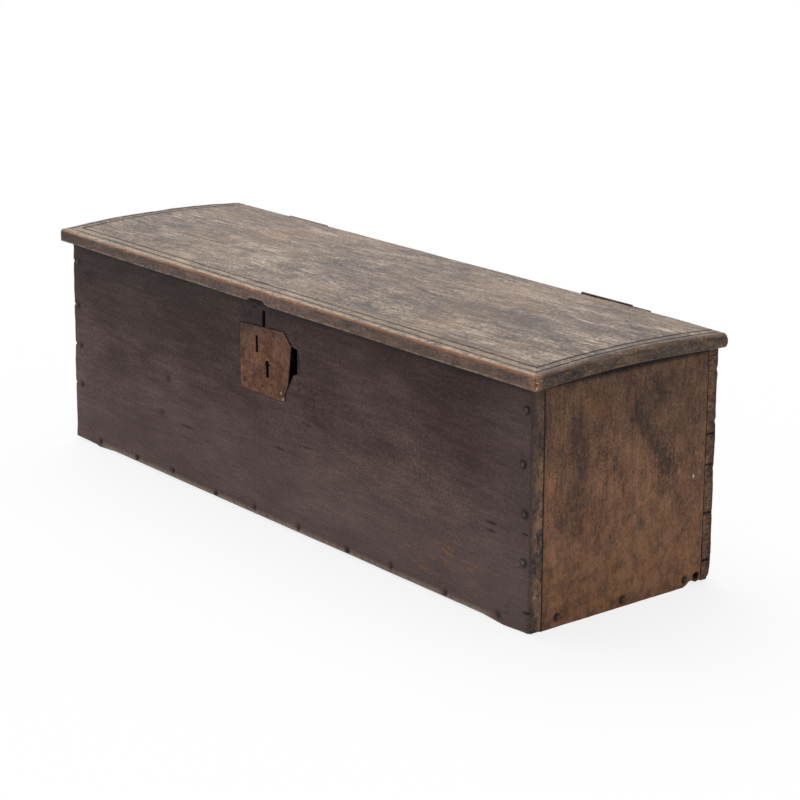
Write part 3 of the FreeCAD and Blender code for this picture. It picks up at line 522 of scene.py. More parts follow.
def front_board(material):
    """Front plank: ragged left end, worn foot, dents round the lock, gouges along the grain."""
    low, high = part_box("front_board")
    plate_low, plate_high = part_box("lock_plate")
    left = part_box("back_board")[0].x
    tree = surface("front_board")
    along, up = front_grid(left, low, high, plate_low, plate_high)
    x, z, edges = grid_of(along, up)

    plane = high.y - INNER_PLANE
    left_end = bridged(met(tree, low.x - RAY_START, plane, up, (1, 0, 0)))
    left_end += waves(up, 0, (1.6, 24, 1, 11)) - FRONT_END_OUT
    foot = bridged(met(tree, along, plane, low.z - RAY_START, (0, 0, 1)))[:, None]
    foot += np.abs(waves(along, 0, (0.5, 60, 1, 12)))[:, None]
    x = x + (left_end - left) * near(x - left) ** 2
    z = z + (foot - low.z) * near(z - low.z) ** 2

    inner_x = np.clip(x, left_end + INSIDE_EDGE, high.x - INSIDE_EDGE)
    inner_z = np.clip(z, foot + INSIDE_EDGE, high.z - INSIDE_EDGE)
    cut = met(tree, inner_x, low.y - RAY_START, inner_z, (0, 1, 0)) - low.y
    at_lock = (x > plate_low.x) & (x < plate_high.x + LOCK_RIGHT)
    at_lock &= (z > plate_low.z) & (z < plate_high.z + LOCK_ABOVE)
    nail_hole = np.isnan(cut) | (~at_lock & (cut > DEEPEST_WEAR))
    cut = np.maximum(np.where(nail_hole, 0, cut), 0)
    lock_cut, lock_marks = mortise_as_broken(np.where(at_lock, cut, 0), x, z, plate_low.z + MORTISE_FOOT)
    toe = np.where(at_lock, 0, cut) * np.clip((TOE_END - np.abs(x)) / TOE_FADE, 0, 1)

    calm = (x > plate_low.x - PLATE_CALM) & (x < plate_high.x + PLATE_CALM)
    calm &= (z > plate_low.z - PLATE_CALM) & (z < plate_high.z + PLATE_CALM)
    hollow = np.where(calm, 0, front_dents(x, z, (plate_low + plate_high) / 2))
    wave = np.where(calm, 0, waves(x, z, (0.5, 180, 45, 21), (0.2, 30, 7, 24)))
    radius = FRONT_RADIUS + waves(x, z, (0.8, 40, 40, 31))
    radius += FRONT_CORNER_WEAR * dent(x, z, (high.x, low.z), reach=(50 * MM, 50 * MM))
    worn = arris(edges, radius)
    y = np.minimum(low.y + lock_cut + toe + worn + hollow - wave, high.y - LEAST_LEFT)

    def end_grain(points):
        pit = np.abs(waves(points[:, 1], points[:, 2], (0.5, 9, 14, 51)))
        return pitted(points, pit, high.x - FRONT_END_BAND)

    nails = [f"front_{place}_nails" for place in ("left", "right", "foot")]
    marks = {"worn": np.clip((worn + toe) / radius, 0, 1), "hollow": np.clip(hollow / HOLLOW_FULL, 0, 1),
             "nail": nail_stain_and_shadow(x, z, nails, (0, 2)), **lock_marks}
    piece = board("front_plank", points_at(x, y, z), points_at(x, high.y, z), marks, end_grain, rows=7)
    dress(piece, "front_board", "carcass", material)


# The other planks

def back_board(material):
    """Back plank: split and nicked at its right end, with a broken foot there."""
    low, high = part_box("back_board")
    tree = surface("back_board")
    along = grid_lines(low.x, high.x, step=8 * MM)
    up = grid_lines(low.z, high.z, BOARD_STEP, [BACK_FOOT_BAND])
    x, z, edges = grid_of(along, up)
    plane = (low.y + high.y) / 2
    right_end = bridged(met(tree, high.x + RAY_START, plane, up, (-1, 0, 0)))
    right_end = np.where(up < low.z + BACK_FOOT, high.x, right_end)
    right_end -= np.abs(waves(up, 0, (1.2, 22, 1, 111)))
    foot = bridged(met(tree, along, plane, low.z - RAY_START, (0, 0, 1)))[:, None]
    foot = np.minimum(foot, low.z + BACK_TOE)
    x = x + (right_end - high.x) * near(high.x - x) ** 2
    z = z + (foot - low.z) * near(z - low.z)
    radius = BACK_RADIUS + waves(x, z, (1.2, 40, 40, 131))
    radius += BACK_CORNER_WEAR * dent(x, z, (high.x, low.z), reach=(40 * MM, 20 * MM))
    worn = arris(edges, radius)
    y = high.y - worn + np.minimum(waves(x, z, (0.6, 160, 40, 121)), 0)

    def split_end(points):
        pit = np.abs(waves(points[:, 1], points[:, 2], (0.6, 9, 14, 151)))
        for height in BACK_SPLITS:
            pit = pit + BACK_SPLIT_DEPTH * np.exp(-((points[:, 2] - height * MM) / BACK_SPLIT_HALF) ** 2)
        return pitted(points, pit, high.x - BACK_END_BAND)

    marks = {"worn": np.clip(worn / radius, 0, 1)}
    piece = board("back_plank", points_at(x, y, z), points_at(x, low.y, z), marks, split_end)
    dress(piece, "back_board", "carcass", material)


def end_board(side, material):
    """End plank: worn arrises, and on the right two drying cracks and a broken lower rear corner."""
    node = f"{side}_end_board"
    low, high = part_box(node)
    cracked = side == "right"
    outer, inner, outward = (high.x, low.x, 1) if cracked else (low.x, high.x, -1)
    tree = surface(node)
    chip_start, chip_height = CHIP_BAND
    bands = (CRACK_BAND, (chip_start, high.y, LOCK_STEP)) if cracked else ()
    along = grid_lines(low.y, high.y, step=4 * MM, dense=bands)
    up = grid_lines(low.z, high.z, BOARD_STEP, ((low.z, low.z + chip_height, CHIP_STEP),) if cracked else ())
    y, z, edges = grid_of(along, up)
    foot = bridged(met(tree, (outer + inner) / 2, along, low.z - RAY_START, (0, 0, 1)))
    foot = foot * np.clip(1 - (along - CHIP_PEAK) / CHIP_SLOPE, CHIP_LEAST, 1)
    broken = np.clip(foot / BROKEN_HEIGHT, 0, 1)
    foot += np.abs(waves(along, 0, (0.4, 8, 1, 211))) * (1 + BROKEN_ROUGHER * broken)
    z = z + (foot[:, None] - low.z) * near(z - low.z) ** 2
    radius = END_RADIUS + waves(y, z, (0.7, 30, 60, 231))
    worn = arris(edges, radius)
    crack = cracks(y, z, END_CRACKS if cracked else (), reach=1.5 * MM, seed=241)
    hole = dent(y, z, HOLE_PLACE, HOLE_REACH) if cracked else np.zeros_like(y)
    hole = np.clip(HOLE_STEEP * hole + rough(y, z, *HOLE_RAGGED) - HOLE_EDGE, 0, 1)
    wave = waves(y, z, (0.4, 40, 160, 221), (0.15, 6, 60, 225))
    depth = worn + END_SUNK - wave + CRACK_DEPTH * crack + HOLE_DEPTH * hole

    # The mark crack holds painted shade: a share in the cracks, full in the hole behind the break
    marks = {"worn": np.clip(worn / radius, 0, 1), "crack": np.maximum(CRACK_DARK * crack, hole),
             "nail": nail_stain_and_shadow(y, z, [f"{side}_end_foot_nails"], (1, 2))}
    face = points_at(outer - outward * depth, y, z)
    piece = board(f"{side}_end_plank", face, points_at(inner, y, z), marks, rows=4)
    dress(piece, node, "carcass", material)


def lid_outline(x, y, to_side, to_front, to_back, along, across):
    """The lid's points with its edges wandering a little and its corners worn round."""
    ahead = waves(along, 0, (1.2, 90, 1, 351))[:, None] - LID_FRONT_IN
    behind = waves(along, 0, (0.7, 70, 1, 355))[:, None] - LID_BACK_IN
    sideways = waves(across, 0, (0.9, 40, 1, 361)) - LID_END_IN
    moved_x = x + np.sign(x) * sideways * near(to_side)
    moved_y = y - ahead * near(to_front) + behind * near(to_back)
    for to_edge, radius, inward in ((to_front, LID_FRONT_CORNER, 1), (to_back, LID_BACK_CORNER, -1)):
        in_x, in_y = rounded(to_side, to_edge, radius)
        moved_x = moved_x - np.sign(x) * in_x
        moved_y = moved_y + inward * in_y
    return moved_x, moved_y


def lid_board(material):
    """Lid plank: cupped, with its grooves, a chipped nosing and slightly wandering edges."""
    low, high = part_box("lid_board")
    tree = surface("lid_board")
    first, last = GROOVE_BAND
    along = grid_lines(low.x, high.x, step=6 * MM, dense=(
        (low.x + first, low.x + last, GROOVE_STEP), (high.x - last, high.x - first, GROOVE_STEP)))
    across = grid_lines(low.y, high.y, BOARD_STEP, ((low.y + first, low.y + last, GROOVE_STEP), *SPLIT_BANDS))
    x, y, (to_left, to_right, to_front, to_back) = grid_of(along, across)
    to_side = np.minimum(to_left, to_right)
    inner_x = np.clip(x, low.x + INSIDE_EDGE, high.x - INSIDE_EDGE)
    inner_y = np.clip(y, low.y + INSIDE_EDGE, high.y - INSIDE_EDGE)
    top = met(tree, inner_x, inner_y, high.z + RAY_START, (0, 0, -1))
    bottom = met(tree, inner_x, inner_y, low.z - RAY_START, (0, 0, 1))

    radius = LID_RADIUS + waves(x, y, (1.2, 35, 35, 331))
    worn = np.minimum(arris((to_side, to_front), radius), LID_WORN_MOST)
    chance = np.random.default_rng(seed=341)
    for _ in range(LID_CHIPS):
        place = (chance.uniform(low.x, high.x), low.y)
        depth = chance.uniform(*LID_CHIP_DEPTH)
        worn += depth * dent(x, y, place, chance.uniform(*LID_CHIP_SIZE, 2))
    split = cracks(x, y, LID_SPLITS, reach=2.2 * MM, seed=381)
    wave = waves(x, y, (0.7, 260, 60, 321), (0.2, 50, 10, 325))
    top = top - worn + np.minimum(wave, LID_WAVE_MOST) - SPLIT_DEPTH * split
    bottom = bottom + arris((to_side, to_front), LID_UNDER_ARRIS)
    corner = dent(x, y, (high.x, high.y), reach=(90 * MM, 60 * MM))
    top = top - arris((to_side, to_back), REAR_CORNER_TOP * corner)
    bottom = bottom + arris((to_side, to_back), REAR_CORNER_UNDER * corner)
    moved_x, moved_y = lid_outline(x, y, to_side, to_front, to_back, along, across)

    def worn_edge(points):
        on_front = points[:, 1] < low.y + NOSING_BAND
        moved = points.copy()
        moved[:, 1] += np.where(on_front, waves(points[:, 0], points[:, 2], (0.4, 25, 7, 371)), 0)
        return moved

    marks = {"worn": np.clip(worn / LID_WORN_FULL, 0, 1), "split": split}
    face = points_at(moved_x, moved_y, top)
    back = points_at(moved_x, moved_y, bottom)
    piece = board("lid_plank", face, back, marks, worn_edge, flat_back=False)
    dress(piece, "lid_board", "lid", material)


# Materials

class Wire:
    """A value in a tree of nodes; arithmetic adds nodes to it, and | is the greater of two."""

    def __init__(self, tree, socket):
        self.tree = tree
        self.socket = socket

    def __add__(self, other):
        return self.tree.math("ADD", self, other)

    def __sub__(self, other):
        return self.tree.math("SUBTRACT", self, other)

    def __rsub__(self, other):
        return self.tree.math("SUBTRACT", other, self)

    def __mul__(self, other):
        return self.tree.math("MULTIPLY", self, other)

    def __or__(self, other):
        return self.tree.math("MAXIMUM", self, other)

    def __abs__(self):
        return self.tree.math("ABSOLUTE", self)


class Tree:
    """The nodes of a material or of the world."""

    def __init__(self, owner):
        owner.use_nodes = True
        self.nodes = owner.node_tree.nodes
        self.links = owner.node_tree.links

    def feed(self, socket, value):
        """Links a value's wire to a socket, or sets the socket to a plain value."""
        if isinstance(value, Wire):
            value = value.socket
        if isinstance(value, bpy.types.NodeSocket):
            self.links.new(value, socket)
        else:
            socket.default_value = value

    def node(self, kind, *values, **settings):
        """A new node of a kind, with its settings, and values fed to its inputs in order."""
        node = self.nodes.new("ShaderNode" + kind)
        for name, setting in settings.items():
            setattr(node, name, setting)
        for socket, value in zip(node.inputs, values):
            self.feed(socket, value)
        return node

    def math(self, operation, *values):
        """Arithmetic on values."""
        return Wire(self, self.node("Math", *values, operation=operation).outputs[0])


class Paint(Tree):
    """A procedural material on its object's own coordinates, laid coat over coat."""

    def __init__(self, name, gloss):
        self.material = bpy.data.materials.new(name)
        super().__init__(self.material)
        self.shader = self.nodes["Principled BSDF"].inputs
        self.shader["Specular IOR Level"].default_value = gloss
        coordinates = self.node("TexCoord").outputs
        self.place = coordinates["Object"]
        self.x, self.y, self.z = self.split(self.place)
        self.facing_x, self.facing_y, self.facing_z = self.split(coordinates["Normal"])
        self.ragged = self.noise(8 * MM, detail=6, gain=0.65) - 0.5

    def split(self, vector):
        """The three coordinates of a vector."""
        return [Wire(self, output) for output in self.node("SeparateXYZ", vector).outputs]

    def vector(self, operation, *values):
        """Arithmetic on vectors."""
        outputs = self.node("VectorMath", *values, operation=operation).outputs
        as_number = operation in ("LENGTH", "DOT_PRODUCT")
        return Wire(self, outputs["Value"]) if as_number else outputs["Vector"]

    def noise(self, size, stretch=(1, 1, 1), detail=4, gain=0.55, shift=0):
        """Noise from 0 to 1 in lumps of about the size, drawn out by stretch along each axis."""
        scales = [1 / (size * longer) for longer in stretch]
        node = self.node("TexNoise", self.vector("MULTIPLY_ADD", self.place, scales, (shift, shift, shift)))
        for name, setting in (("Scale", 1), ("Detail", detail), ("Roughness", gain)):
            node.inputs[name].default_value = setting
        return Wire(self, node.outputs["Fac"])

    def grain(self, along, layers, shift=0):
        """A tone about 0.5 from layers of noise: each a size in mm, a stretch along the grain, a strength."""
        tone = 0.5
        for number, (size, longer, strength) in enumerate(layers):
            stretch = [longer if axis == along else 1 for axis in "xyz"]
            tone = (self.noise(size * MM, stretch, shift=shift + 7 * number) - 0.5) * strength + tone
        return tone

    def flecks(self, size, stretch, share, shift):
        """Sharp flecks about a size in mm; a greater share, up to 1, leaves fewer of them."""
        return self.fade(self.noise(size * MM, stretch, detail=2, shift=shift), share, share + 0.06)

    def fade(self, value, start, end, low=0, high=1):
        """Low up to start, high from end, and smooth between them."""
        node = self.node("MapRange", value, start, end, low, high, interpolation_type="SMOOTHSTEP")
        return Wire(self, node.outputs[0])

    def faces(self, way):
        """1 where the surface looks along a way, given as a coordinate of its normal."""
        return self.fade(way, 0.6, 0.85)

    def mark(self, name):
        """A value kept at the mesh's points."""
        return Wire(self, self.node("Attribute", attribute_name=name).outputs["Fac"])

    def marked(self, name, start, end):
        """1 where a value kept at the mesh's points is past end, and 0 short of start."""
        return self.fade(self.mark(name), start, end)

    def within(self, away, reach, ragged, soft):
        """1 where a vector is short, out to its reach along each axis in mm, with a ragged soft edge."""
        length = self.vector("LENGTH", self.vector("DIVIDE", away, Vector(reach) * MM))
        return self.fade(self.ragged * (2 * ragged) + length, 1, 1 - soft)

    def blot(self, place, reach, ragged=0.6, soft=0.6):
        """1 about a place in mm."""
        return self.within(self.vector("SUBTRACT", self.place, Vector(place) * MM), reach, ragged, soft)

    def stroke(self, start, end, reach, ragged, soft):
        """1 along the line between two places in mm."""
        run = (Vector(end) - Vector(start)) * MM
        away = self.vector("SUBTRACT", self.place, Vector(start) * MM)
        share = self.vector("DOT_PRODUCT", away, run / run.length_squared)
        nearest = self.vector("MULTIPLY", self.math("MINIMUM", share | 0, 1), run)
        return self.within(self.vector("SUBTRACT", away, nearest), reach, ragged, soft)

    def lay(self, value, *stops):
        """Starts a colour by a value: each stop is a value and the shade there."""
        node = self.node("ValToRGB", value)
        elements = node.color_ramp.elements
        while len(elements) < len(stops):
            elements.new(0.5)
        for element, (position, *shade) in zip(elements, stops):
            element.position = position
            element.color = srgb(*shade)
        self.colour = node.outputs[0]

    def mix(self, share, first, second):
        """The first colour with a share of the second over it."""
        node = self.node("Mix", share, data_type="RGBA")
        self.feed(node.inputs[6], first)
        self.feed(node.inputs[7], second)
        return node.outputs[2]

    def coat(self, share, *shade):
        """Lays a share of a shade over the colour so far."""
        self.colour = self.mix(share, self.colour, srgb(*shade))

    def show(self, share, over):
        """Lays a share of the colour so far over an earlier one."""
        self.colour = self.mix(share, over, self.colour)

    def finish(self, roughness, height, depth):
        """Sets the shader: the colour so far, its roughness, and relief of that depth in metres."""
        bump = self.node("Bump")
        bump.inputs["Distance"].default_value = depth
        self.feed(bump.inputs["Height"], height)
        self.feed(self.shader["Base Color"], self.colour)
        self.feed(self.shader["Roughness"], roughness)
        self.feed(self.shader["Normal"], bump.outputs[0])
        return self.material


def raw_oak(paint, along):
    """Lays oak that was never stained: dry, dusty brown, with its grain along an axis."""
    tone = paint.grain(along, ((160, 2, 0.4), (40, 3, 0.4), (9, 8, 0.5), (4, 6, 0.6), (2.4, 2, 0.8)), 4)
    paint.lay(tone, (0.26, 52, 40, 33), (0.42, 84, 65, 52), (0.55, 106, 83, 66), (0.76, 144, 115, 88))
    return tone


def front_end_grain(paint, low, high):
    """Lays the front's sawn ends: blotched, pitted, rubbed pale, dark at the top, with painted shade in the
    seam.
    """
    pits = paint.grain("z", ((26, 1.6, 0.7), (9, 1.5, 0.8), (3, 1.4, 0.8)), 29)
    paint.lay(pits, (0.3, 50, 41, 38), (0.43, 86, 69, 61), (0.54, 114, 89, 72), (0.65, 138, 104, 79),
              (0.8, 176, 140, 108))
    paint.coat(paint.fade(paint.z, 0.5 * high.z, 0.8 * high.z) * 0.65, 50, 41, 38)
    from_front = paint.ragged * (14 * MM) + paint.y - low.y
    paint.coat(paint.fade(from_front, 10 * MM, 2 * MM) * 0.7, 66, 55, 52)
    # Painted shade in the seam against the end board
    paint.coat(paint.fade(high.y - paint.y, 1.8 * MM, 0.6 * MM) * 0.9, 14, 11, 10)
    return pits


def front_lock_marks(paint):
    """The marks at the front's lock: smudged wood, the broken ledge, a painted highlight on its rim and
    painted shade in the mortise.
    """
    paint.coat(paint.blot(*LOCK_SMUDGE, 0.7, 0.9) * 0.6, 28, 20, 19)
    wood = paint.colour
    paint.lay(paint.grain("z", ((5, 3, 1.2),), 9), (0.3, 14, 11, 10), (0.7, 62, 50, 43))
    paint.show(paint.marked("ledge", 0.3, 0.7), over=wood)
    # Painted highlight on the rim above the ledge
    paint.coat(paint.marked("rim", 0.3, 0.8) * 0.45, 132, 112, 100)
    # Painted shade in the mortise and the hasp's relief
    paint.coat(paint.marked("dark", 0.15, 0.5), 8, 6, 6)


def painted_over(paint):
    """1 about the front's left and foot nails, which the stain covers."""
    by_left = paint.fade(paint.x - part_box("front_left_nails")[1].x, *NAIL_COVER)
    by_foot = paint.fade(paint.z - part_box("front_foot_nails")[1].z, *NAIL_COVER)
    return (by_left | by_foot) * paint.fade(paint.y, 0, -20 * MM)


def front_wood():
    """Dark red stain, with painted shade under the lid and a painted sheen that greys it low down, and bare
    at the worn arrises.
    """
    paint = Paint("front_wood", 0.16)
    low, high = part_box("front_board")
    tone = paint.grain("x", ((220, 1.5, 0.4), (60, 2, 0.35), (18, 3, 0.25), (4, 12, 0.3), (2.2, 1.6, 0.6)))
    paint.lay(tone, (0.3, 46, 31, 29), (0.45, 69, 50, 47), (0.55, 82, 61, 58), (0.72, 110, 86, 80))
    # Painted sheen: the floor's reflection, greying the stain low down
    paint.coat(paint.fade(paint.z, 0.67 * high.z, 0.03 * high.z) * 0.5, 102, 85, 82)
    paint.coat(paint.fade(paint.x, 0.72 * high.x, 0.96 * high.x) * 0.4, 82, 70, 69)
    # Painted shade under the lid: darker towards the top, more so to the left, and darkest in a band just
    # below the lid
    dim = paint.fade(paint.x, 0.8 * high.x, -0.6 * high.x, 0.35, 0.75)
    paint.coat(paint.fade(paint.z, 0.4 * high.z, 0.97 * high.z) * dim, 44, 31, 29)
    paint.coat(paint.fade(high.z - paint.z, 14 * MM, 2 * MM) * 0.75, 18, 13, 12)
    pore = paint.flecks(3, (10, 1, 1), 0.62, 3)
    paint.coat(pore * 0.35, 40, 28, 26)
    paint.coat(paint.flecks(3.6, (1.6, 1, 1), 0.72, 11) * 0.7, 138, 104, 76)
    scuffed = paint.blot(*FRONT_SCUFF, 0.5, 0.9)
    paint.coat(paint.flecks(3.6, (5, 1, 1), 0.58, 17) * scuffed * 0.8, 128, 88, 58)
    # Painted shade in the dents and gouges, the deeper ones darker
    paint.coat(paint.marked("hollow", 0.1, 0.8) * 0.8, 22, 16, 15)
    # Rust stain and painted shadow round the nails, weaker where the stain covers them
    paint.coat(paint.marked("nail", 0.12, 0.5) * (painted_over(paint) * -0.4 + 0.65), 24, 18, 17)

    bare = paint.fade(paint.ragged * 1.6 + paint.mark("worn"), 0.6, 0.95)
    paint.coat(bare * 0.5, 100, 80, 68)
    foot = paint.fade(paint.z, TOE_HEIGHT, 0.4 * TOE_HEIGHT) * paint.fade(paint.ragged, -0.2, 0.05)
    paint.coat(foot * paint.fade(abs(paint.x), TOE_END, TOE_END - TOE_FADE) * 0.8, 156, 138, 124)
    front_lock_marks(paint)
    stained = paint.colour
    raw_oak(paint, "x")
    paint.show(paint.fade(paint.facing_y, 0.3, 0.6) | paint.faces(paint.facing_z), over=stained)

    wood = paint.colour
    pits = front_end_grain(paint, low, high)
    end = paint.faces(abs(paint.facing_x)) * paint.fade(high.x - abs(paint.x), 20 * MM, 14 * MM)
    paint.show(end, over=wood)
    roughness = paint.fade(tone, 0.35, 0.7, 0.64, 0.46)
    return paint.finish(roughness, tone - pore * 0.3 + end * pits, depth=1.2 * MM)


def lid_top(paint, level):
    """Lays bleached, blotched oak with fine lines and pores along its grain, and painted shade in its splits.
    """
    tone = paint.grain("x", ((160, 2, 0.45), (50, 2.2, 0.6), (18, 3, 0.6), (5, 8, 0.75), (2.8, 1.8, 1.1)))
    paint.lay(tone, (0.28, 66, 54, 47), (0.41, 100, 84, 74), (0.5, 125, 107, 93), (0.6, 146, 129, 114),
              (0.78, 184, 167, 150))
    line = paint.noise(3 * MM, (50, 1, 1), detail=3, shift=61)
    paint.coat(paint.fade(line, 0.54, 0.66) * 0.35, 62, 51, 44)
    pore = paint.flecks(2.8, (10, 1, 1), 0.6, 5)
    paint.coat(pore * 0.55, 54, 44, 38)
    paint.coat(paint.flecks(3, (6, 1, 1), 0.63, 45) * 0.45, 188, 171, 154)
    warm = paint.noise(120 * MM, (1.6, 1, 1), detail=5, shift=13)
    paint.coat(paint.fade(warm, 0.45, 0.65) * 0.3, 156, 124, 94)
    stain = paint.noise(70 * MM, (2.2, 1, 1), detail=8, gain=0.65, shift=9)
    paint.coat(paint.fade(stain, 0.5, 0.68) * 0.45, 72, 62, 57)
    for x, y, long, wide, strength in LID_STAINS:
        stained = paint.blot((x, y, level), (long, wide, LID_STAIN_DEEP), 0.9, 0.9)
        paint.coat(stained * strength, 46, 38, 35)
    for x, y, long in LID_STREAKS:
        streak = paint.blot((x, y, level), (long, STREAK_HALF, LID_STAIN_DEEP))
        paint.coat(streak * 0.6, 206, 186, 160)
    # Painted shade in the splits
    paint.coat(paint.marked("split", 0.15, 0.7) * 0.8, 34, 27, 25)
    return tone - pore * 0.5


def lid_edge(paint, high):
    """The lid's edges: dark and handled, rubbed pale below, with end grain on the ends."""
    top = paint.colour
    tone = paint.grain("x", ((30, 4, 0.35), (8, 4, 0.45), (3, 2, 0.6)), 25)
    paint.lay(tone, (0.3, 56, 42, 36), (0.5, 93, 72, 61), (0.7, 130, 103, 87))
    paint.coat(paint.fade(paint.x, -0.5 * high.x, -high.x) * 0.55, 58, 38, 34)
    front = paint.colour
    grain = paint.grain("y", ((20, 2, 0.6), (6, 3, 0.7), (2.6, 1.6, 0.6)), 27)
    paint.lay(grain, (0.28, 36, 28, 24), (0.5, 72, 58, 48), (0.75, 126, 98, 72))
    paint.coat(paint.flecks(4, (1, 2, 1), 0.64, 57) * 0.6, 150, 98, 58)
    paint.show(paint.faces(abs(paint.facing_x)), over=front)
    on_front = paint.fade(paint.facing_y, -0.3, -0.6)
    rubbed = paint.marked("down", 0.8, 0.97) * on_front * paint.fade(paint.ragged, -0.1, 0.1)
    paint.coat(rubbed * 0.75, 154, 132, 118)
    paint.show(paint.fade(paint.facing_z, 0.55, 0.3), over=top)


def lid_moulding(paint, inset, by_end):
    """The ridges beside the lid's grooves: a painted highlight, pale, along the front, and dark along the
    ends.
    """
    # Painted highlight on the ridges along the front; along the ends the ridges are darkened instead
    border = paint.fade(inset, 36 * MM, 24 * MM) * paint.fade(paint.ragged, -0.12, 0.15)
    ridge = paint.mix(by_end, srgb(172, 148, 122), srgb(76, 61, 50))
    paint.colour = paint.mix(border * (by_end * 0.25 + 0.55), paint.colour, ridge)
    # A painted highlight on the lip between the front edge and the outer groove
    lip = paint.fade(inset, 9 * MM, 5 * MM) * paint.fade(paint.ragged, -0.15, 0.1)
    paint.coat(lip * paint.fade(by_end, 0.5, 0) * 0.5, 198, 176, 150)


def lid_grooves(paint, inset, by_end, low):
    """The painted shade in the lid's grooves, faint at its left end."""
    groove = 0
    for place in GROOVES:
        groove = paint.fade(abs(inset - place), 2.8 * MM, 0.8 * MM) + groove
    groove = groove * paint.fade(paint.facing_z, 0.5, 0.75)
    clear = paint.fade(paint.x - low.x, 18 * MM, 38 * MM, 0.35, 0.9) * (by_end * 0.2 + 0.8)
    # Painted shade in the grooves
    paint.coat(groove * clear, 32, 25, 22)
    return groove


def lid_arris(paint, inset, high):
    """The bare orange line where the lid's top turns over its front edge."""
    turned = paint.fade(paint.facing_z, 0.25, 0.45) * paint.fade(paint.facing_z, 0.93, 0.8)
    turned = turned * paint.fade(inset, 6 * MM, 4 * MM) * paint.fade(paint.ragged, -0.2, 0.05)
    turned = turned * paint.fade(paint.facing_y, -0.05, -0.25, 0.2, 0.95)
    paint.coat(turned * paint.fade(paint.x, -0.87 * high.x, -0.1 * high.x, 0.45, 1), 134, 82, 46)


def lid_corner(paint, corner):
    """The lid's front right corner, knocked pale and pitted."""
    inward, reach = KNOCKED_CORNER
    knocked = paint.blot(corner / MM - Vector(inward), reach, 0.8, 0.8)
    paint.coat(knocked * 0.55, 158, 120, 82)
    paint.coat(paint.flecks(3.4, (1, 1, 1), 0.62, 53) * knocked, 206, 188, 164)
    paint.coat(paint.flecks(3, (1, 1, 2), 0.6, 59) * knocked * 0.8, 62, 34, 22)


def lid_wood():
    """Bleached oak on top, painted shade in the grooves on three sides, bare orange arrises and dark edges.
    """
    paint = Paint("lid_wood", 0.3)
    low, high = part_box("lid_board")
    relief = lid_top(paint, high.z / MM)
    from_end = high.x - abs(paint.x)
    inset = paint.math("MINIMUM", from_end, paint.y - low.y)
    by_end = paint.fade(from_end - inset, 2 * MM, 0)
    lid_moulding(paint, inset, by_end)
    groove = lid_grooves(paint, inset, by_end, low)
    paint.coat(by_end * paint.fade(inset, 10 * MM, 6 * MM) * 0.6, 76, 60, 49)
    lid_edge(paint, high)
    lid_arris(paint, inset, high)
    lid_corner(paint, Vector((high.x, low.y, high.z)))
    paint.coat(paint.fade(paint.facing_z, -0.3, -0.6) * 0.7, 104, 80, 62)
    roughness = paint.fade(relief, 0.3, 0.7, 0.5, 0.62)
    return paint.finish(roughness, relief - groove * 0.3, depth=1.4 * MM)


def end_stains(paint, face):
    """Stains, runs, bare patches and a white fleck on the right end's face."""
    for y, z, wide, tall, strength in END_STAINS:
        stain = paint.blot((face, y, z), (END_STAIN_DEEP, wide, tall), 0.9, 0.95)
        paint.coat(stain * strength, 54, 43, 38)
    for start, end, wide, strength in END_RUNS:
        run = paint.stroke((face, *start), (face, *end), (END_STAIN_DEEP, wide, wide), 0.8, 0.9)
        paint.coat(run * strength, 52, 41, 36)
    for y, z, wide, tall, strength in END_BARE:
        patch = paint.blot((face, y, z), (END_STAIN_DEEP, wide, tall), 0.9, 0.95)
        paint.coat(patch * strength, 152, 106, 64)
    place, reach = END_FLECK
    paint.coat(paint.blot((face, *place), reach, 0.1, 0.4), 205, 200, 192)


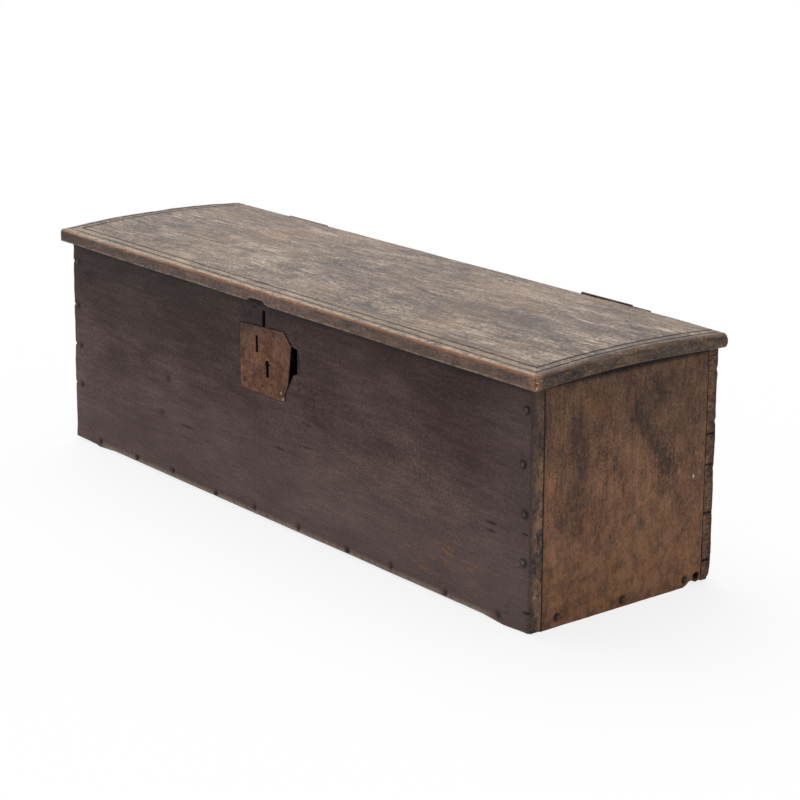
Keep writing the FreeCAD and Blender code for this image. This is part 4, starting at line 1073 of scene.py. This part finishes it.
def end_wood():
    """Warm brown with upright grain, grey blotches, stains and bare patches, and painted shade, black, at the
    seams, along the arrises, under the lid and in the cracks and the hole.
    """
    paint = Paint("end_wood", 0.16)
    low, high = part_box("right_end_board")
    layers = ((110, 1.4, 0.35), (34, 1.6, 0.45), (12, 2.5, 0.5), (3.5, 12, 0.35), (2.2, 1.6, 0.8))
    tone = paint.grain("z", layers)
    paint.lay(tone, (0.28, 70, 50, 41), (0.42, 101, 73, 58), (0.5, 119, 86, 67), (0.6, 138, 101, 77),
              (0.78, 166, 123, 90))
    paint.coat(paint.fade(paint.z, 0.67 * high.z, 0) * 0.6, 158, 114, 86)
    blotch = paint.noise(28 * MM, (1, 1, 1.6), detail=7, gain=0.65, shift=41)
    paint.coat(paint.fade(blotch, 0.5, 0.64) * 0.42, 72, 58, 51)
    paint.coat(paint.fade(blotch, 0.47, 0.34) * 0.38, 142, 94, 60)
    end_stains(paint, high.x / MM)
    paint.coat(paint.fade(paint.x, 0, -0.8 * high.x) * 0.5, 82, 66, 56)
    paint.coat(paint.flecks(2.6, (1, 1, 1.4), 0.63, 33) * 0.45, 158, 116, 74)
    paint.coat(paint.flecks(2.8, (1, 1, 2), 0.63, 37) * 0.45, 40, 29, 23)
    mottled = paint.fade(paint.z, 0.5 * high.z, 0.1 * high.z, 0.22, 0.36)
    paint.coat(paint.flecks(9, (1, 1, 1.5), 0.5, 71) * mottled, 60, 45, 37)
    paint.coat(paint.flecks(6, (1, 1, 1.3), 0.53, 75) * mottled, 160, 113, 79)
    # Rust stain and painted shadow round the foot nails
    paint.coat(paint.marked("nail", 0.15, 0.6) * 0.6, 34, 26, 22)
    # Painted shade in the cracks and the hole
    paint.coat(paint.marked("crack", 0.05, 0.3) * 0.95, 12, 9, 8)
    paint.coat(paint.fade(paint.z, 0.43 * high.z, 0.87 * high.z) * 0.4, 54, 45, 41)
    # Painted shade under the lid
    paint.coat(paint.fade(high.z - paint.z, 10 * MM, 3 * MM) * 0.9, 12, 9, 8)
    # Painted shade along the worn arrises and in the seams against the front and back
    paint.coat(paint.marked("worn", 0.2, 0.6) * 0.6, 22, 16, 14)
    to_seam = paint.math("MINIMUM", paint.y - low.y, high.y - paint.y)
    paint.coat(paint.fade(to_seam, 2 * MM, 1 * MM) * 0.95, 10, 8, 7)
    outside = paint.colour
    raw_oak(paint, "z")
    inside = paint.fade(paint.facing_x * paint.x, -0.2 * high.x, -0.6 * high.x)
    paint.show(inside | paint.faces(paint.facing_z), over=outside)
    roughness = paint.fade(tone, 0.3, 0.7, 0.74, 0.6)
    return paint.finish(roughness, tone, depth=1.2 * MM)


def inner_wood():
    """Raw oak of the back and the bottom: dry, dusty brown, with painted shade in the splits of its sawn
    ends.
    """
    paint = Paint("inner_wood", 0.16)
    tone = raw_oak(paint, "x")
    side = paint.colour
    grain = paint.grain("y", ((16, 1.4, 0.5), (5, 2, 0.8), (2.4, 1, 0.9)), 14)
    paint.lay(grain, (0.25, 48, 36, 29), (0.5, 98, 73, 57), (0.78, 148, 111, 80))
    end = paint.faces(abs(paint.facing_x))
    paint.show(end, over=side)
    split = 0
    for height in BACK_SPLITS:
        split = paint.fade(abs(paint.ragged * (4 * MM) + paint.z - height * MM), 1.8 * MM, 0.6 * MM) + split
    split = split * end
    # Painted shade in the splits
    paint.coat(split * 0.9, 20, 15, 13)
    paint.coat(paint.marked("worn", 0.4, 0.9) * 0.5, 50, 38, 31)
    roughness = paint.fade(tone, 0.3, 0.7, 0.78, 0.62)
    return paint.finish(roughness, tone - split, depth=1.2 * MM)


def iron(name, dark, rust, bright, shift):
    """Lays old wrought iron: brown rust over dark scale, pitted, rubbed brighter in places."""
    paint = Paint(name, 0.18)
    tone = paint.grain("z", ((24, 1, 0.55), (7, 1, 0.6), (2.4, 1, 0.7)), shift)
    paint.lay(tone, (0.3, *dark), (0.52, *rust), (0.78, *bright))
    return paint, tone


def finish_iron(paint, tone):
    """Iron that is smoother where it is brighter."""
    return paint.finish(paint.fade(tone, 0.3, 0.7, 0.75, 0.5), tone, depth=0.8 * MM)


def nail_iron():
    """Nails worn to the colour of the wood about them, rubbed bright at the lock, with painted shade on the
    flanks of their heads.
    """
    paint, tone = iron("nail_iron", (40, 31, 29), (78, 64, 58), (116, 96, 84), 1)
    body_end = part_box("right_end_board")[1].x
    on_end = paint.fade(abs(paint.x), body_end - 1 * MM, body_end)
    paint.coat(on_end * 0.6, 106, 76, 56)
    covered = painted_over(paint) * paint.fade(on_end, 0.5, 0.2)
    paint.coat(covered * 0.8, 74, 60, 58)
    low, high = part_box("lock_plate_nails")
    at_lock = paint.blot((low + high) / 2 / MM, (70, 20, 70), 0, 0.1)
    paint.coat(at_lock * 0.6, 122, 98, 84)
    by_key = paint.blot(Vector((high.x, low.y, low.z)) / MM, (18, 20, 22), 0.2, 0.3)
    paint.coat(by_key * 0.7, 176, 164, 150)
    # Painted shade on the flanks of the heads, fainter on the nails that the stain covers
    straight = abs(paint.facing_x) | abs(paint.facing_y) | abs(paint.facing_z)
    paint.coat(paint.fade(straight, 0.93, 0.78) * (covered * -0.5 + 0.8), 20, 15, 14)
    return finish_iron(paint, tone)


def hinge_iron():
    """Hinges dark with dull rust, the top of the left one as dusty as the lid."""
    paint, tone = iron("hinge_iron", (44, 36, 32), (88, 72, 62), (126, 108, 96), 5)
    on_top = paint.fade(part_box("back_board")[1].z - paint.z, 6 * MM, 0)
    paint.coat(paint.fade(paint.x, 0, -10 * MM) * on_top * 0.7, 142, 124, 110)
    return finish_iron(paint, tone)


def works_iron():
    """The lock's works, black with old grease."""
    return finish_iron(*iron("works_iron", (8, 7, 6), (20, 16, 15), (38, 32, 29), 3))


def lock_iron():
    """The lock plate, evenly rusted brown, with painted shade on its edges, in its holes and behind."""
    paint, tone = iron("lock_iron", (72, 45, 34), (104, 69, 51), (136, 94, 66), 9)
    low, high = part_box("lock_plate")
    corner = paint.blot(Vector((low.x, low.y, high.z)) / MM, (60, 20, 50), 0.8, 0.95)
    paint.coat(corner * 0.6, 74, 58, 52)
    from_head = high.z - (paint.ragged * (30 * MM) + paint.z)
    paint.coat(paint.fade(from_head, 16 * MM, 2 * MM) * 0.6, 66, 51, 45)
    paint.coat(paint.flecks(4, (1, 1, 1.5), 0.64, 19) * 0.5, 136, 88, 56)
    paint.coat(paint.flecks(3.6, (1, 1, 1.6), 0.66, 67) * 0.6, 36, 26, 23)
    # Painted shade on the plate's edges and the walls of its holes, and on what lies behind its face
    paint.coat(paint.fade(abs(paint.facing_y), 0.9, 0.6) * 0.9, 16, 12, 11)
    paint.coat(paint.fade(paint.y - low.y, 1 * MM, 2.5 * MM) * 0.8, 30, 24, 22)
    return finish_iron(paint, tone)


def paint_cad_nodes(plain_oak):
    """Gives materials to the bottom board and the iron, which keep their CAD shapes."""
    finishes = {"nail_iron": nail_iron(), "hinge_iron": hinge_iron(), "lock_iron": works_iron()}
    special = {"bottom_board": plain_oak, "lock_plate": lock_iron()}
    for part in frame["record"]["subparts"]:
        node = frame["nodes"][part["node"]]
        slot = part["material_slot"]
        finish = special.get(part["node"], finishes.get(slot))
        if finish:
            node.material_slots[0].material = finish


# Studio

def seen_directly(tree):
    """1 for rays that see the thing, also by mirror or through glass, and 0 for its light on others."""
    path = tree.node("LightPath").outputs
    kinds = ("Is Camera Ray", "Is Glossy Ray", "Is Transmission Ray")
    straight, mirror, glass = [Wire(tree, path[kind]) for kind in kinds]
    return straight | mirror | glass


def surround():
    """A white world, which lights the chest less than it shows."""
    world = bpy.data.worlds.new("surround")
    bpy.context.scene.world = world
    tree = Tree(world)
    background = tree.nodes["Background"].inputs
    background["Color"].default_value = (1, 1, 1, 1)
    tree.feed(background["Strength"], seen_directly(tree) * (1 - SKY_LEVEL) + SKY_LEVEL)


def soft_light():
    """One broad light from above, a little to the left."""
    sun = new_object("soft_light", bpy.data.lights.new("soft_light", "SUN"))
    sun.data.energy = SUN_LEVEL
    sun.data.angle = SUN_SPREAD
    sun.rotation_euler = SUN_FROM.to_track_quat("Z", "Y").to_euler()


def paper_floor():
    """White floor, which keeps a faint shadow."""
    corners = [(x * FLOOR_HALF, y * FLOOR_HALF, 0) for x, y in ((-1, -1), (1, -1), (1, 1), (-1, 1))]
    mesh = bpy.data.meshes.new("floor")
    mesh.from_pydata(corners, [], [(0, 1, 2, 3)])
    floor = new_object("floor", mesh)
    paper = bpy.data.materials.new("paper")
    tree = Tree(paper)
    tree.nodes.remove(tree.nodes["Principled BSDF"])
    matt = tree.node("BsdfDiffuse", (PAPER_WHITE, PAPER_WHITE, PAPER_WHITE, 1)).outputs[0]
    glow = tree.node("Emission").outputs[0]
    both = tree.node("MixShader", seen_directly(tree) * FLOOR_GLOW, matt, glow).outputs[0]
    tree.feed(tree.nodes["Material Output"].inputs["Surface"], both)
    mesh.materials.append(paper)


def camera():
    """The photograph's camera."""
    eye = new_object("camera", bpy.data.cameras.new("camera"))
    eye.data.lens = CAMERA_LENS
    eye.data.sensor_width = SENSOR_WIDTH
    eye.location = CAMERA_PLACE
    eye.rotation_euler = (math.pi / 2 - CAMERA_PITCH, 0, -CAMERA_YAW)
    bpy.context.scene.camera = eye


plain_oak = inner_wood()
front_board(front_wood())
back_board(plain_oak)
end_oak = end_wood()
for side in ("left", "right"):
    end_board(side, end_oak)
lid_board(lid_wood())
paint_cad_nodes(plain_oak)
surround()
soft_light()
paper_floor()
camera()
bpy.context.scene.view_settings.view_transform = "Standard"
